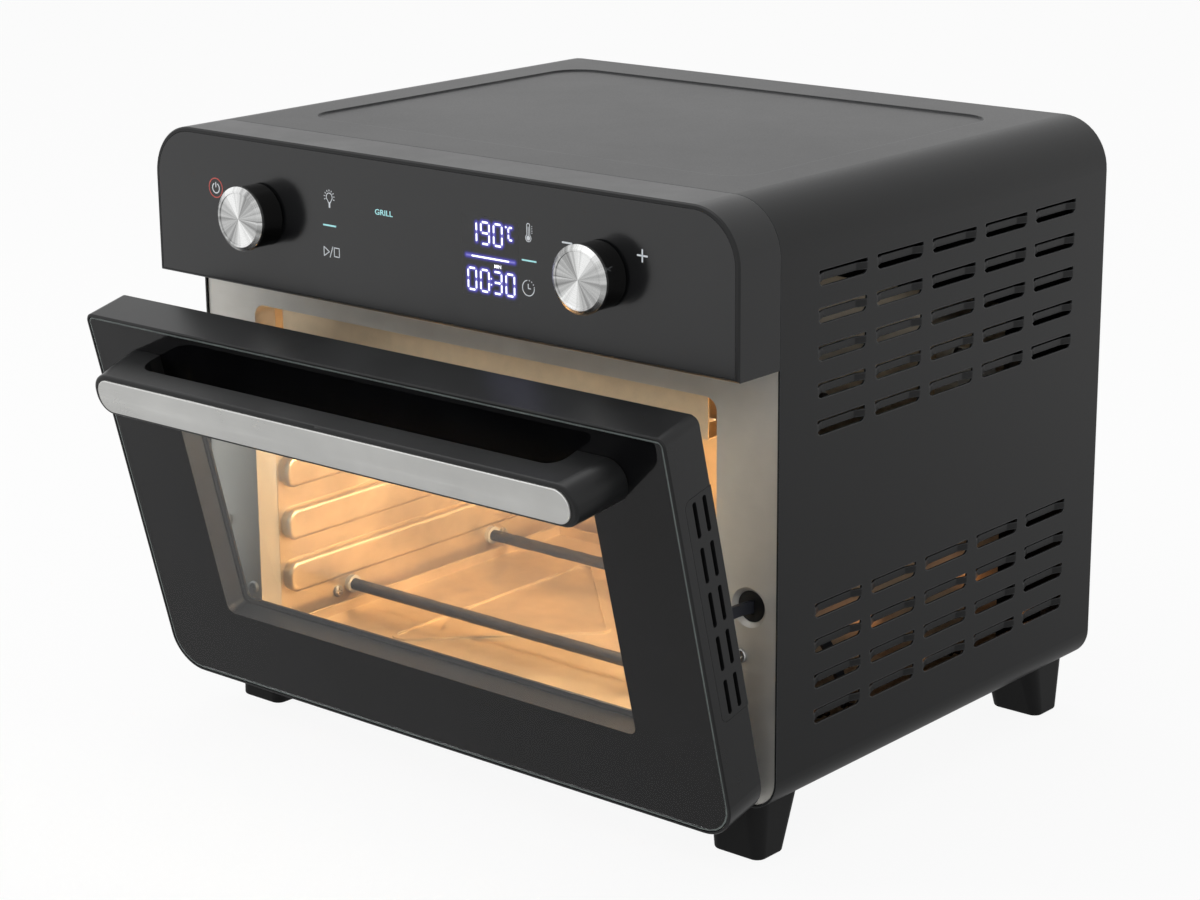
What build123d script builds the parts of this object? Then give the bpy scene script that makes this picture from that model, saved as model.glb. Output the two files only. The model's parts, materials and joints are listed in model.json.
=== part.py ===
from build123d import *
import math
import os

# A countertop oven: a wrapped steel cabinet with a drop-down glass door, a glass control panel
# with two push-and-turn knobs, and the cavity, heaters, fan and boards that it holds inside.
# Axes: +X is the right-hand side of someone facing the oven, +Y runs to the back, +Z is up.
# Every piece is drawn with y = 0 at the cabinet's front edge and z = 0 on the table, and
# place_origin() then moves them all along Y so that the origin is the middle of the footprint.

# Cabinet
shell_width = 400.0
shell_depth = 290.0
shell_height = 306.0
shell_sheet = 1.2
shell_top_radius = 27.5
shell_bottom_radius = 17.0
shell_lip_width = 56.0
foot_height = 29.5
base_overlap = 16.0
joint_gap = 0.3
panel_sheet = 1.0
liner_sheet = 0.8

# Pressed panel on the top
top_panel_margin_x = 49.0
top_panel_margin_y = 32.0
top_panel_radius = 20.0
top_panel_depth = 1.0

# Louvres in both sides
louvre_length = 39.5
louvre_height = 7.7
louvre_low_radius = 3.4
louvre_top_radius = 0.8
louvre_slot = 2.0
louvre_depth = 2.3
louvre_ramp = 6.5
louvre_shoulder = 0.4
louvre_bend = 1.5
louvre_front_margin = 30.0
louvre_rear_margin = 30.5
louvre_pitch_z = 18.4
louvre_columns = 5
upper_louvre_rows = 5
upper_louvre_drop = 42.1
lower_louvre_rows = 4
lower_louvre_top = 97.6

# Control panel
panel_height = 81.0
panel_depth = 31.5
panel_wall = 2.5
panel_glass = 3.0
panel_lip = 2.4
panel_post_inset = 35.0
panel_post_radius = 3.5
panel_post_rise = 26.0
middle_post_places = (-30.0, 100.0)
board_gap = 9.0
board_thick = 1.6
board_inset = 28.0
board_height = 62.0
display_left = 26.0
display_width = 55.0
display_low = 15.0
display_height = 46.0
display_gap = 1.0
knob_inset = 83.0
knob_radius = 17.0
knob_length = 16.3
knob_gap = 1.4
knob_travel = 1.0
knob_wall = 1.8
cap_thick = 3.2
shaft_radius = 3.0
shaft_fit = 0.05
encoder_size = 12.0
encoder_depth = 6.8

# Power board: its own size, and each part's place along the board, width, height and depth
power_left = -150.0
power_right = 70.0
power_gap = 10.0
power_low = 4.0
power_high = 16.0
power_post_radius = 3.0
power_post_inset = 5.0
power_boxes = ((-130.0, 34.0, 28.0, 26.4), (-80.0, 22.0, 22.0, 16.4), (-50.0, 22.0, 22.0, 16.4))
power_cans = ((-10.0, 8.0, 22.4), (20.0, 6.0, 18.4))
power_part_rise = 12.0

# Front frame and cavity
frame_recess = 1.0
side_room = 38.5
cavity_low = 14.0
brow_height = 20.0
rear_room = 33.2
cavity_radius = 7.0
tray_gap = 0.5
tray_rim = 7.0
tray_bead_inset = 50.0
tray_bead_ends = 26.0
tray_bead_apex = 96.0
tray_bead_width = 3.0
tray_bead_height = 1.4
tray_pull = 3.0
flange_depth = 14.0
hatch_inset = 40.0
frame_screw_left_inset = 12.5
frame_screw_right_inset = 23.0
frame_screw_rise = 78.0
rim_screw_gap = 6.0
rim_screw_rise = 41.5
rib_height = 19.0
rib_pitch = 31.0
rib_first = 20.5
rib_count = 4
rib_swell = 6.0
rib_front_gap = 2.0
rib_rear_gap = 14.0
rib_end_radius = 8.0
rib_edge_radius = 3.0
floor_post_inset = 35.5
floor_post_radius = 5.0
rear_dish_inset = 51.5
rear_dish_height = 120.0
rear_dish_depth = 2.0
rear_tab_inset = 11.5
rear_tab_drop = 40.0
probe_inset = 41.5
probe_drop = 30.0
probe_radius = 3.0
probe_reach = 45.0
lamp_inset = 47.8
lamp_drop = 33.0
lamp_hole = 15.0
cutoff_x = -90.0
cutoff_offset = 40.0

# Heaters and fan
heater_radius = 3.4
heater_front_inset = 71.0
heater_rear_inset = 62.0
lower_heater_rise = 13.0
heater_screw_gap = 11.0
heater_screw_drop = 2.0
bush_wall = 1.2
bush_lip = 1.8
upper_heater_drop = 13.0
heater_overhang = 13.0
shield_drop = 25.0
shield_inset = 12.5
shield_front = 10.0
shield_rear_gap = 8.0
shield_slot_rows = 7
shield_slot_columns = 9
shield_slot_pitch = 30.0
shield_slot_margin = 29.0
fan_radius = 50.0
fan_blades = 10
fan_height = 12.0
fan_drop = 6.0
cooling_radius = 44.0
cooling_height = 12.0
motor_radius = 28.0
motor_height = 32.0
motor_lift = 26.0
motor_deck_width = 120.0
motor_deck_depth = 70.0
motor_leg_x = 54.0
motor_leg_width = 50.0
motor_sheet = 1.2

# Door
door_gap = 2.5
door_depth = 26.0
door_low = 1.5
door_front = 34.5
door_wall = 3.0
door_top_radius = 5.0
door_bottom_radius = 20.0
door_glass = 4.0
glass_reveal = 1.6
window_inset = 54.0
window_low = 46.0
window_drop = 37.0
inner_window_side = 18.0
inner_window_foot = 12.0
inner_window_head = 3.0
inner_glass = 3.0
pan_sheet = 1.2
pan_gap = 1.0
pan_margin = 8.0
door_ajar = 14.2
door_opens = 80.0
vent_low = 65.0
vent_drop = 36.0
vent_depth = 20.0
vent_rows = 5

# Hinge and stay
hinge_y = -11.0
hinge_rise = 8.0
pin_radius = 2.5
pin_fit = 0.05
pin_length = 17.0
ear_inset = 24.0
ear_thick = 3.0
ear_radius = 6.5
stay_inset = 18.5
stay_rise = 103.5
stay_hole = 8.0
stay_dimple = 10.2
stay_thick = 2.0
stay_width = 6.0
stay_dish = 2.4
stay_pin = 1.2
guide_thick = 2.6
guide_half = 12.0
guide_rise = 13.0
bracket_sheet = 1.2
switch_rise = 22.0

# Handle
handle_inset = 33.0
handle_flare = 6.0
handle_height = 23.0
handle_drop = 27.5
handle_reach = 30.0
handle_bar = 14.0
handle_post = 22.0
trim_inset = 3.6
trim_height = 18.5
trim_thick = 1.0

# Feet and rear
foot_inset = 27.5
foot_width = 31.0
foot_length = 22.0
foot_radius = 5.5
foot_lean = 2.0
foot_top_width = 35.0
foot_top_length = 37.0
foot_front = 1.5
foot_top_radius = 9.0
foot_well = 6.5
foot_screw = 2.0
case_screw = 2.0
rear_screw_inset = 24.0
edge_screw_inset = 10.0
screw_gap = 0.1
foot_rear = 2.5
rear_spacer_reach = 18.0
rear_spacer_rise = 128.5
rear_spacer_half = 60.0
rear_spacer_wire = 2.5
rear_slot_count = 15
rear_slot_pitch = 12.0
rear_slot_length = 36.0
rear_slot_width = 4.0
rear_slot_drop = 60.0
rear_slot_rise = 46.0
base_slot_count = 11
base_slot_pitch = 20.0
base_slot_row = 75.0
base_slot_length = 44.0
base_slot_width = 5.0
inlet_inset = 70.0
inlet_rise = 40.0
inlet_bore = 4.0
inlet_radius = 8.0

# Places that follow from the sizes above
base = foot_height
top = base + shell_height
half = shell_width / 2
inner = half - shell_sheet
frame_y = frame_recess
frame_back = frame_y + liner_sheet
panel_low = top - panel_height
rear_panel_y = shell_depth - 4.0
cavity_half = half - side_room
cavity_floor = base + cavity_low
cavity_top = panel_low - brow_height
cavity_back = rear_panel_y - rear_room
liner_front = frame_back + flange_depth + 0.2
lamp_y = cavity_back - lamp_inset
lamp_z = cavity_top - lamp_drop
probe_x = -(cavity_half - probe_inset)
probe_z = cavity_top - probe_drop
shield_half = cavity_half - shield_inset
panel_front = -panel_depth
knob_x = half - knob_inset
knob_z = panel_low + panel_height / 2
glass_back = panel_front + panel_glass
board_front = glass_back + panel_wall + board_gap
board_back = board_front + board_thick
heater_front_y = heater_front_inset
heater_rear_y = cavity_back - heater_rear_inset
fan_y = (heater_front_y + heater_rear_y) / 2
lower_heater_z = cavity_floor + lower_heater_rise
upper_heater_z = cavity_top - upper_heater_drop
door_z = base + door_low
door_height = panel_low - door_gap - door_z
window_half = half - window_inset
window_high = door_height - window_drop
vent_height = door_height - vent_low - vent_drop
door_y = -door_front
door_back = door_y + door_depth
glass_plane = door_y + door_glass
pan_back = -pan_gap
hinge_z = base + hinge_rise
ear_x = half - ear_inset
stay_x = half - stay_inset
stay_radius = math.hypot(stay_rise - hinge_rise, frame_y - hinge_y)
guide_front = frame_y + stay_dish
guide_back = guide_front + guide_thick
stop_y = guide_back + stay_pin + joint_gap - hinge_y
stop_angle = math.degrees(math.asin(stop_y / stay_radius)) + door_opens
handle_z = door_z + door_height - handle_drop
handle_half = half - handle_inset
post_x = handle_half - handle_post / 2 + 2
foot_x = half - foot_inset
inlet_x = half - inlet_inset
louvre_span = shell_depth - louvre_front_margin - louvre_rear_margin
louvre_pitch_y = (louvre_span - louvre_length) / (louvre_columns - 1)
motor_low = cavity_top + liner_sheet + motor_lift
eps = 0.01


# Helpers

def block(x0, x1, y0, y1, z0, z1):
    """A box between two corners."""
    return Pos((x0 + x1) / 2, (y0 + y1) / 2, (z0 + z1) / 2) * Box(x1 - x0, y1 - y0, z1 - z0)


def bar_x(y, z, x0, x1, radius):
    """A round bar along X."""
    return Pos((x0 + x1) / 2, y, z) * Rot(0, 90, 0) * Cylinder(radius, x1 - x0)


def bar_y(x, z, y0, y1, radius):
    """A round bar along Y."""
    return Pos(x, (y0 + y1) / 2, z) * Rot(90, 0, 0) * Cylinder(radius, y1 - y0)


def bar_z(x, y, z0, z1, radius):
    """A round bar along Z."""
    return Pos(x, y, (z0 + z1) / 2) * Cylinder(radius, z1 - z0)


def slab_y(sketch, y0, y1):
    """A sketch of X and Z given a thickness along Y."""
    return Pos(0, y1, 0) * extrude(Plane.XZ * sketch, y1 - y0)


def slab_x(sketch, x0, x1):
    """A sketch of Y and Z given a thickness along X."""
    return Pos(x0, 0, 0) * extrude(Plane.YZ * sketch, x1 - x0)


def slab_z(sketch, z0, z1):
    """A sketch of X and Y given a thickness along Z."""
    return Pos(0, 0, z0) * extrude(sketch, z1 - z0)


def face_outline(half_width, low, high, low_radius, high_radius):
    """An upright outline about x = 0, with its own radii at the bottom and the top."""
    outline = Pos(0, (low + high) / 2) * Rectangle(2 * half_width, high - low)
    if high_radius > 0:
        outline = fillet(outline.vertices().group_by(Axis.Y)[-1], high_radius)
    if low_radius > 0:
        outline = fillet(outline.vertices().group_by(Axis.Y)[0], low_radius)
    return outline


def group(shapes):
    """Several separate solids that make one node."""
    return Compound([solid for shape in shapes for solid in shape.solids()])


def both_sides(shape):
    """A piece and its mirror image on the other side of x = 0."""
    return [shape, mirror(shape, about=Plane.YZ)]


def screw_y(x, z, y_head, length):
    """A pan-head screw whose head faces the front at y_head and whose shank runs back."""
    dome = bar_y(x, z, y_head - 1.8, y_head, 1.8 * case_screw)
    dome = fillet(dome.faces().sort_by(Axis.Y)[0].edges(), 1.2)
    screw = dome + bar_y(x, z, y_head - 0.5, y_head + length, case_screw)
    slot = block(x - 2.0, x + 2.0, y_head - 2.0, y_head - 1.0, z - 0.4, z + 0.4)
    cross = block(x - 0.4, x + 0.4, y_head - 2.0, y_head - 1.0, z - 2.0, z + 2.0)
    return screw - slot - cross


# Cabinet

def body_outline(inset):
    """The cabinet's front outline, drawn inside its outer face by inset."""
    return face_outline(half - inset, base + inset, top - inset,
                        shell_bottom_radius - inset, shell_top_radius - inset)


def louvre_places():
    """The Y and Z of the middle of each louvre on one side."""
    places = []
    for first, rows in ((top - upper_louvre_drop, upper_louvre_rows),
                        (base + lower_louvre_top, lower_louvre_rows)):
        for row in range(rows):
            for column in range(louvre_columns):
                y = louvre_front_margin + louvre_length / 2 + column * louvre_pitch_y
                places.append((y, first - row * louvre_pitch_z))
    return places


def louvre_opening():
    """One louvre's opening at the origin, where the shell's outer face is x = 0."""
    rise = louvre_height / 2
    outline = face_outline(louvre_length / 2, -rise, rise, louvre_low_radius, louvre_top_radius)
    return slab_x(outline, -shell_sheet - 1, 1)


def louvre_strip():
    """The strip across one louvre at the origin, pressed in behind the shell's outer face."""
    end = louvre_length / 2 + shell_sheet
    start = louvre_length / 2 - louvre_shoulder
    flat = louvre_length / 2 - louvre_ramp
    outer = [(0, -end), (0, -start), (-louvre_depth, -flat),
             (-louvre_depth, flat), (0, start), (0, end)]
    behind = [(x - shell_sheet, y) for x, y in reversed(outer)]
    plan = Polygon(*outer, *behind, align=None)
    bends = plan.vertices().filter_by(lambda corner: abs(corner.Y) < end - eps)
    plan = fillet(bends, louvre_bend)
    rise = louvre_height / 2 - louvre_slot
    return slab_z(plan, -rise, rise)


def outer_shell():
    """The wrapped sheet: top, both sides and the two lips that turn in underneath."""
    sleeve = slab_y(body_outline(0) - body_outline(shell_sheet), 0, shell_depth)
    gap_half = half - shell_lip_width
    sleeve -= block(-gap_half, gap_half, -1, shell_depth + 1, base - 1, base + 2 * shell_sheet)
    span_x = shell_width - 2 * top_panel_margin_x
    span_y = shell_depth - 2 * top_panel_margin_y
    middle = Pos(0, shell_depth / 2)
    dish = middle * RectangleRounded(span_x, span_y, top_panel_radius)
    pad = middle * RectangleRounded(span_x + 2, span_y + 2, top_panel_radius + 1)
    sleeve += slab_z(pad, top - top_panel_depth - shell_sheet, top - shell_sheet)
    sleeve -= Pos(0, 0, top) * extrude(dish, -top_panel_depth, taper=30)
    opening = louvre_opening()
    strip = louvre_strip()
    openings = [Pos(half, y, z) * opening for y, z in louvre_places()]
    strips = [Pos(half, y, z) * strip for y, z in louvre_places()]
    sleeve -= openings + [mirror(cut, about=Plane.YZ) for cut in openings]
    sleeve += strips + [mirror(piece, about=Plane.YZ) for piece in strips]
    return sleeve - [bar_z(x, y, base - 1, base + 2, foot_screw + screw_gap) for x, y in foot_places()]


def rear_screw_places():
    """The X and Z of the screws that hold the rear panel."""
    side = half - rear_screw_inset
    corners = [(x, z) for x in (-side, side) for z in (base + rear_screw_inset, top - rear_screw_inset)]
    return corners + [(0, base + edge_screw_inset), (0, top - edge_screw_inset)]


def rear_panel():
    """The flat back, with two groups of slots and a hole for the mains inlet."""
    plate = slab_y(body_outline(shell_sheet + joint_gap), rear_panel_y, rear_panel_y + panel_sheet)
    slots = []
    for z in (top - rear_slot_drop, base + rear_slot_rise):
        for i in range(rear_slot_count):
            x = (i - (rear_slot_count - 1) / 2) * rear_slot_pitch
            slots.append(Pos(x, z) * SlotOverall(rear_slot_length, rear_slot_width, rotation=90))
    cuts = [slab_y(slot, rear_panel_y - 1, rear_panel_y + 3) for slot in slots]
    cuts.append(bar_y(inlet_x, base + inlet_rise, rear_panel_y - 1, rear_panel_y + 3, inlet_radius))
    for x, z in rear_screw_places():
        cuts.append(bar_y(x, z, rear_panel_y - 1, rear_panel_y + 3, case_screw + screw_gap))
    return plate - cuts


def base_panel():
    """The floor plate that lies on the shell's turned-in lips, with cooling slots."""
    wide = half - shell_lip_width + base_overlap
    low = base + shell_sheet
    plate = block(-wide, wide, frame_back + joint_gap, rear_panel_y - joint_gap, low, low + panel_sheet)
    slots = []
    middle = (frame_back + rear_panel_y) / 2
    for y in (middle - base_slot_row, middle, middle + base_slot_row):
        for i in range(base_slot_count):
            x = (i - (base_slot_count - 1) / 2) * base_slot_pitch
            slots.append(Pos(x, y) * SlotOverall(base_slot_length, base_slot_width, rotation=90))
    return plate - [slab_z(slot, low - 1, low + 3) for slot in slots]


def foot(x_sign, rear):
    """One tapered foot, upright at the front and slanted at its other faces."""
    top_x = x_sign * (foot_x - foot_lean)
    low_sketch = RectangleRounded(foot_width, foot_length, foot_radius)
    high_sketch = RectangleRounded(foot_top_width, foot_top_length, foot_top_radius)
    if rear:
        y_top = shell_depth - foot_rear - foot_top_length / 2
        y_low = y_top + 1.0
    else:
        y_top = foot_front + foot_top_length / 2
        y_low = foot_front + foot_length / 2 + 1.0
    body = loft([Pos(x_sign * foot_x, y_low, 0) * low_sketch, Pos(top_x, y_top, base) * high_sketch])
    body = fillet(body.faces().sort_by(Axis.Z)[0].edges(), 1.5)
    bore = bar_z(top_x, y_top, foot_well - 0.5, base + 1, foot_screw + screw_gap)
    well = bar_z(top_x, y_top, -1, foot_well, 2 * foot_screw + 4 * screw_gap)
    return body - bore - well


def foot_places():
    """The X and Y of the four foot screws."""
    y_front = foot_front + foot_top_length / 2
    y_rear = shell_depth - foot_rear - foot_top_length / 2
    return [(sign * (foot_x - foot_lean), y) for sign in (-1, 1) for y in (y_front, y_rear)]


def foot_screws():
    """Four screws that come up through the feet into the shell's lips."""
    screws = []
    for x, y in foot_places():
        head = bar_z(x, y, foot_well - 2.7, foot_well, 2 * foot_screw)
        screws.append(bar_z(x, y, foot_well, base + 4, foot_screw) + head)
    return group(screws)


def rear_spacer():
    """The bent wire guard that keeps the back off the wall, on two clips."""
    y0 = rear_panel_y + panel_sheet
    y1 = shell_depth + rear_spacer_reach
    z = base + rear_spacer_rise
    span = rear_spacer_half
    wire = rear_spacer_wire
    corners = [(-span, y0, z), (-span, y1 - wire, z), (span, y1 - wire, z), (span, y0, z)]
    path = FilletPolyline(*corners, radius=4 * wire)
    loop = sweep(Plane(origin=(-span, y0, z), z_dir=(0, 1, 0)) * Circle(wire), path=path)
    for x in (-span, span):
        loop += bar_y(x, z, y0, y0 + 4, 7.0)
    return loop


def cord_inlet():
    """The moulded gland in the back that a mains lead would come through."""
    y0 = rear_panel_y - 8
    y1 = rear_panel_y + panel_sheet + 6
    z = base + inlet_rise
    gland = bar_y(inlet_x, z, y0, y1, inlet_radius - 0.1)
    gland += bar_y(inlet_x, z, rear_panel_y + panel_sheet, rear_panel_y + panel_sheet + 2.5, inlet_radius + 3)
    gland += bar_y(inlet_x, z, y0, y0 + 3, inlet_radius + 1.5)
    return gland - bar_y(inlet_x, z, y0 - 1, y1 + 1, inlet_bore)


# Front frame and hinge parts

def opening_outline(grow=0.0):
    """The mouth of the cavity."""
    return face_outline(cavity_half + grow, cavity_floor - grow, cavity_top + grow,
                        cavity_radius + grow, cavity_radius + grow)


def frame_screw_places():
    """The X and Z of the screws that show on the front frame: two outer ones and two at its rim."""
    rim_x, rim_z = cavity_half + rim_screw_gap, base + rim_screw_rise
    outer_z = base + frame_screw_rise
    return [(frame_screw_left_inset - half, outer_z), (half - frame_screw_right_inset, outer_z),
            (-rim_x, rim_z), (rim_x, rim_z)]


def front_frame():
    """The bright plate round the cavity's mouth, its flange, and the dimpled hole for the stay."""
    plate = slab_y(body_outline(shell_sheet + joint_gap), frame_y, frame_back)
    plate -= slab_y(opening_outline(), frame_y - 1, frame_back + 1)
    hatch_low, hatch_high = panel_low + 14, top - 24
    hatch = RectangleRounded(2 * (half - hatch_inset), hatch_high - hatch_low, 6)
    plate -= slab_y(Pos(0, (hatch_low + hatch_high) / 2) * hatch, frame_y - 1, frame_back + 1)
    plate += slab_y(opening_outline(liner_sheet) - opening_outline(), frame_y, frame_back + flange_depth)
    stay_z = base + stay_rise
    plate -= bar_y(stay_x, stay_z, frame_y - 1, frame_back + 1, stay_dimple)
    dish = Cone(stay_dimple + liner_sheet, stay_hole + liner_sheet, stay_dish)
    hole = Cone(stay_dimple, stay_hole, stay_dish)
    turn = Pos(stay_x, frame_y + stay_dish / 2, stay_z) * Rot(-90, 0, 0)
    plate += turn * dish - turn * hole
    for x, z in frame_screw_places():
        plate -= bar_y(x, z, frame_y - 1, frame_back + 1, case_screw + screw_gap)
    return plate


def stay_guide():
    """The nylon block behind the frame's hole that the stay slides through."""
    y0, y1 = guide_front, guide_back
    z = base + stay_rise
    near = math.sqrt(stay_radius ** 2 - (y0 - hinge_y) ** 2) + hinge_z + stay_width / 2 + 0.6
    far = math.sqrt(stay_radius ** 2 - (y1 - hinge_y) ** 2) + hinge_z - stay_width / 2 - 0.6
    slot_half = stay_thick / 2 + 0.5
    guide = block(stay_x - guide_half, stay_x + guide_half, y0, y1, z - guide_rise, z + guide_rise)
    return guide - block(stay_x - slot_half, stay_x + slot_half, y0 - 1, y1 + 1, far, near)


def hinge_brackets():
    """Two ears, screwed to the front frame, that the door's pins turn in."""
    brackets = []
    for x in (-ear_x, ear_x):
        low = base + 2.0
        ear = bar_x(hinge_y, hinge_z, x - ear_thick / 2, x + ear_thick / 2, ear_radius)
        plate_y = frame_y - bracket_sheet
        stem = block(x - ear_thick / 2, x + ear_thick / 2, hinge_y, plate_y, hinge_z - 4, hinge_z + 4)
        foot_plate = block(x - 9, x + 9, plate_y, frame_y, low, low + 30)
        bore = bar_x(hinge_y, hinge_z, x - ear_thick, x + ear_thick, pin_radius + pin_fit)
        brackets.append(ear + stem + foot_plate - bore)
    return group(brackets)


def heater_screw_places():
    """The Y and Z of the screws in the cavity's side walls, one beside each lower heater."""
    z = lower_heater_z - heater_screw_drop
    return [(heater_front_y - heater_screw_gap, z), (heater_rear_y + heater_screw_gap, z)]


def case_screws():
    """The screws on the front frame, in the cavity's side walls and round the rear panel."""
    screws = [screw_y(x, z, frame_y, 6.0) for x, z in frame_screw_places()]
    for y, z in heater_screw_places():
        screws += both_sides(Pos(cavity_half, y, z) * Rot(0, 0, -90) * screw_y(0, 0, 0, 6.0))
    y = rear_panel_y + panel_sheet
    for x, z in rear_screw_places():
        screws.append(Pos(0, 2 * y, 0) * mirror(screw_y(x, z, y, 6.0), about=Plane.XZ))
    return group(screws)


# Control panel

def control_housing():
    """The moulded surround of the control glass, open to the back."""
    outline = face_outline(half, panel_low, top, 0, shell_top_radius)
    skin = slab_y(outline, panel_front, -0.4)
    room = face_outline(half - panel_wall, panel_low + panel_wall, top - panel_wall,
                        0, shell_top_radius - panel_wall)
    skin -= slab_y(room, glass_back + panel_wall, 1)
    rebate = face_outline(half - panel_lip, panel_low + panel_lip / 2, top - panel_lip,
                          0, shell_top_radius - panel_lip)
    skin -= slab_y(rebate, panel_front - 1, glass_back)
    skin = chamfer(skin.faces().sort_by(Axis.Y)[0].outer_wire().edges(), 0.8)
    tongue_outer = face_outline(inner - joint_gap, panel_low + 1, top - shell_sheet - joint_gap,
                                0, shell_top_radius - shell_sheet - joint_gap)
    tongue_inner = face_outline(half - panel_wall - 0.6, panel_low + panel_wall, top - panel_wall - 0.6,
                                0, shell_top_radius - panel_wall - 0.6)
    skin += slab_y(tongue_outer - tongue_inner, -1.5, frame_y)
    back = glass_back + panel_wall
    for x in (-knob_x, knob_x):
        skin -= bar_y(x, knob_z, glass_back - 1, back + 1, shaft_radius + 1.5)
    x0, x1, z0, z1 = display_edges(display_gap)
    skin -= block(x0, x1, glass_back - 1, back + 1, z0, z1)
    side = half - panel_post_inset
    for x in (-side, *middle_post_places, side):
        for z in (knob_z - panel_post_rise, knob_z + panel_post_rise):
            skin += bar_y(x, z, back - 0.5, board_front, panel_post_radius)
    return skin


def display_edges(grow):
    """The display's left, right, lower and upper edges, drawn outside it by grow."""
    low = panel_low + display_low
    right = display_left + display_width
    return display_left - grow, right + grow, low - grow, low + display_height + grow


def control_glass():
    """The black glass over the whole panel, bored for the two shafts."""
    edge = panel_lip + joint_gap / 2
    outline = face_outline(half - edge, panel_low + edge - panel_lip / 2, top - edge,
                           0, shell_top_radius - panel_lip)
    pane = slab_y(outline, panel_front, glass_back)
    for x in (-knob_x, knob_x):
        pane -= bar_y(x, knob_z, panel_front - 1, glass_back + 1, shaft_radius + 0.8)
    return pane


def display_board():
    """The circuit board behind the glass."""
    wide = half - board_inset
    rise = board_height / 2
    board = block(-wide, wide, board_front, board_back, knob_z - rise, knob_z + rise)
    for x in (-knob_x, knob_x):
        board -= bar_y(x, knob_z, board_front - 1, board_back + 1, shaft_radius + 0.8)
    return board


def display_module():
    """The digit display that stands on the board and fills the window behind the glass."""
    x0, x1, z0, z1 = display_edges(0)
    return block(x0, x1, glass_back, board_front, z0, z1)


def encoder_bodies():
    """The two rotary encoders that the knobs' shafts turn in."""
    size = encoder_size / 2
    bodies = []
    for x in (-knob_x, knob_x):
        face = board_front - encoder_depth
        body = block(x - size, x + size, face, board_front, knob_z - size, knob_z + size)
        body += bar_y(x, knob_z, face - 2, face, shaft_radius + 1.2)
        bodies.append(body - bar_y(x, knob_z, -panel_depth, board_front + 1, shaft_radius + shaft_fit))
    return group(bodies)


def encoder_shaft(sign):
    """A knob's shaft: it turns in the encoder, and the knob is pressed in along it."""
    x = sign * knob_x
    tip = panel_front - knob_gap - knob_length + cap_thick + knob_travel + 1.5
    shaft = bar_y(x, knob_z, tip, board_front + 2, shaft_radius)
    collar = bar_y(x, knob_z, board_front + 0.4, board_front + 2.0, shaft_radius + 0.5)
    return shaft + collar


def knob_barrel(sign):
    """The gloss black sleeve of a knob, hollow behind, with the boss that slides on the shaft."""
    x = sign * knob_x
    back = panel_front - knob_gap
    front = back - knob_length + cap_thick
    sleeve = bar_y(x, knob_z, front, back, knob_radius - 0.4)
    sleeve -= bar_y(x, knob_z, front + 2.5, back + 1, knob_radius - 0.4 - knob_wall)
    sleeve += bar_y(x, knob_z, front + 1, back - 2.0, shaft_radius + 3)
    sleeve -= bar_y(x, knob_z, front + knob_travel, back + 1, shaft_radius + shaft_fit)
    return sleeve


def knob_cap(sign):
    """The turned metal face of a knob, with a chamfered rim and a shallow dish."""
    x = sign * knob_x
    back = panel_front - knob_gap - knob_length + cap_thick
    front = back - cap_thick
    cap = bar_y(x, knob_z, front, back, knob_radius)
    cap = chamfer(cap.faces().sort_by(Axis.Y)[0].edges(), 1.6, 2.2)
    return cap - bar_y(x, knob_z, front - 1, front + 0.5, knob_radius - 3.2)


def power_board():
    """The power board behind the front frame, on four posts."""
    y0 = frame_back + power_gap
    y1 = y0 + board_thick
    low, high = panel_low + power_low, top - power_high
    board = block(power_left, power_right, y0, y1, low, high)
    for x in (power_left + power_post_inset, power_right - power_post_inset):
        for z in (low + power_post_inset, high - power_post_inset):
            board += bar_y(x, z, frame_back, y0, power_post_radius)
    part_low = low + power_part_rise
    for x, wide, tall, deep in power_boxes:
        board += block(x, x + wide, y1, y1 + deep, part_low, part_low + tall)
    for x, radius, deep in power_cans:
        board += bar_y(x, part_low + 2 * power_post_inset, y1, y1 + deep, radius)
    return board


# Cavity

def rack_rib(z0):
    """One pressed rack runner: a hollow strip, spot-welded to the inside of the right-hand wall."""
    y0, y1 = liner_front + rib_front_gap, cavity_back - rib_rear_gap
    middle = Pos((y0 + y1) / 2, z0 + rib_height / 2)
    skin = middle * RectangleRounded(y1 - y0, rib_height, rib_end_radius)
    room = middle * RectangleRounded(y1 - y0 - 2 * liner_sheet, rib_height - 2 * liner_sheet,
                                     rib_end_radius - liner_sheet)
    swell = slab_x(skin, cavity_half - rib_swell, cavity_half)
    swell = fillet(swell.faces().sort_by(Axis.X)[0].edges(), rib_edge_radius)
    hollow = slab_x(room, cavity_half - rib_swell + liner_sheet, cavity_half + 1)
    hollow = fillet(hollow.faces().sort_by(Axis.X)[0].edges(), rib_edge_radius - liner_sheet)
    return swell - hollow


def cavity_side(sign):
    """One side wall of the cavity, with the rack runners that are welded to it."""
    y0, y1 = liner_front, cavity_back
    wall = block(cavity_half, cavity_half + liner_sheet, y0, y1, cavity_floor, cavity_top)
    for y in (heater_front_y, heater_rear_y):
        for z in (lower_heater_z, upper_heater_z):
            wall -= bar_x(y, z, cavity_half - 1, cavity_half + 2, heater_radius + bush_wall + screw_gap)
    for y, z in heater_screw_places():
        wall -= bar_x(y, z, cavity_half - 1, cavity_half + 2, case_screw + screw_gap)
    if sign > 0:
        wall -= bar_x(lamp_y, lamp_z, cavity_half - 1, cavity_half + 2, lamp_hole)
    ribs = [rack_rib(cavity_floor + rib_first + i * rib_pitch) for i in range(rib_count)]
    side = group([wall, *ribs])
    return side if sign > 0 else mirror(side, about=Plane.YZ)


def cavity_ceiling():
    """The cavity's roof, with a hole for the fan's shaft."""
    wide = cavity_half + liner_sheet
    plate = block(-wide, wide, liner_front, cavity_back, cavity_top, cavity_top + liner_sheet)
    return plate - bar_z(0, fan_y, cavity_top - 1, cavity_top + 2, shaft_radius + 2.5)


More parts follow.
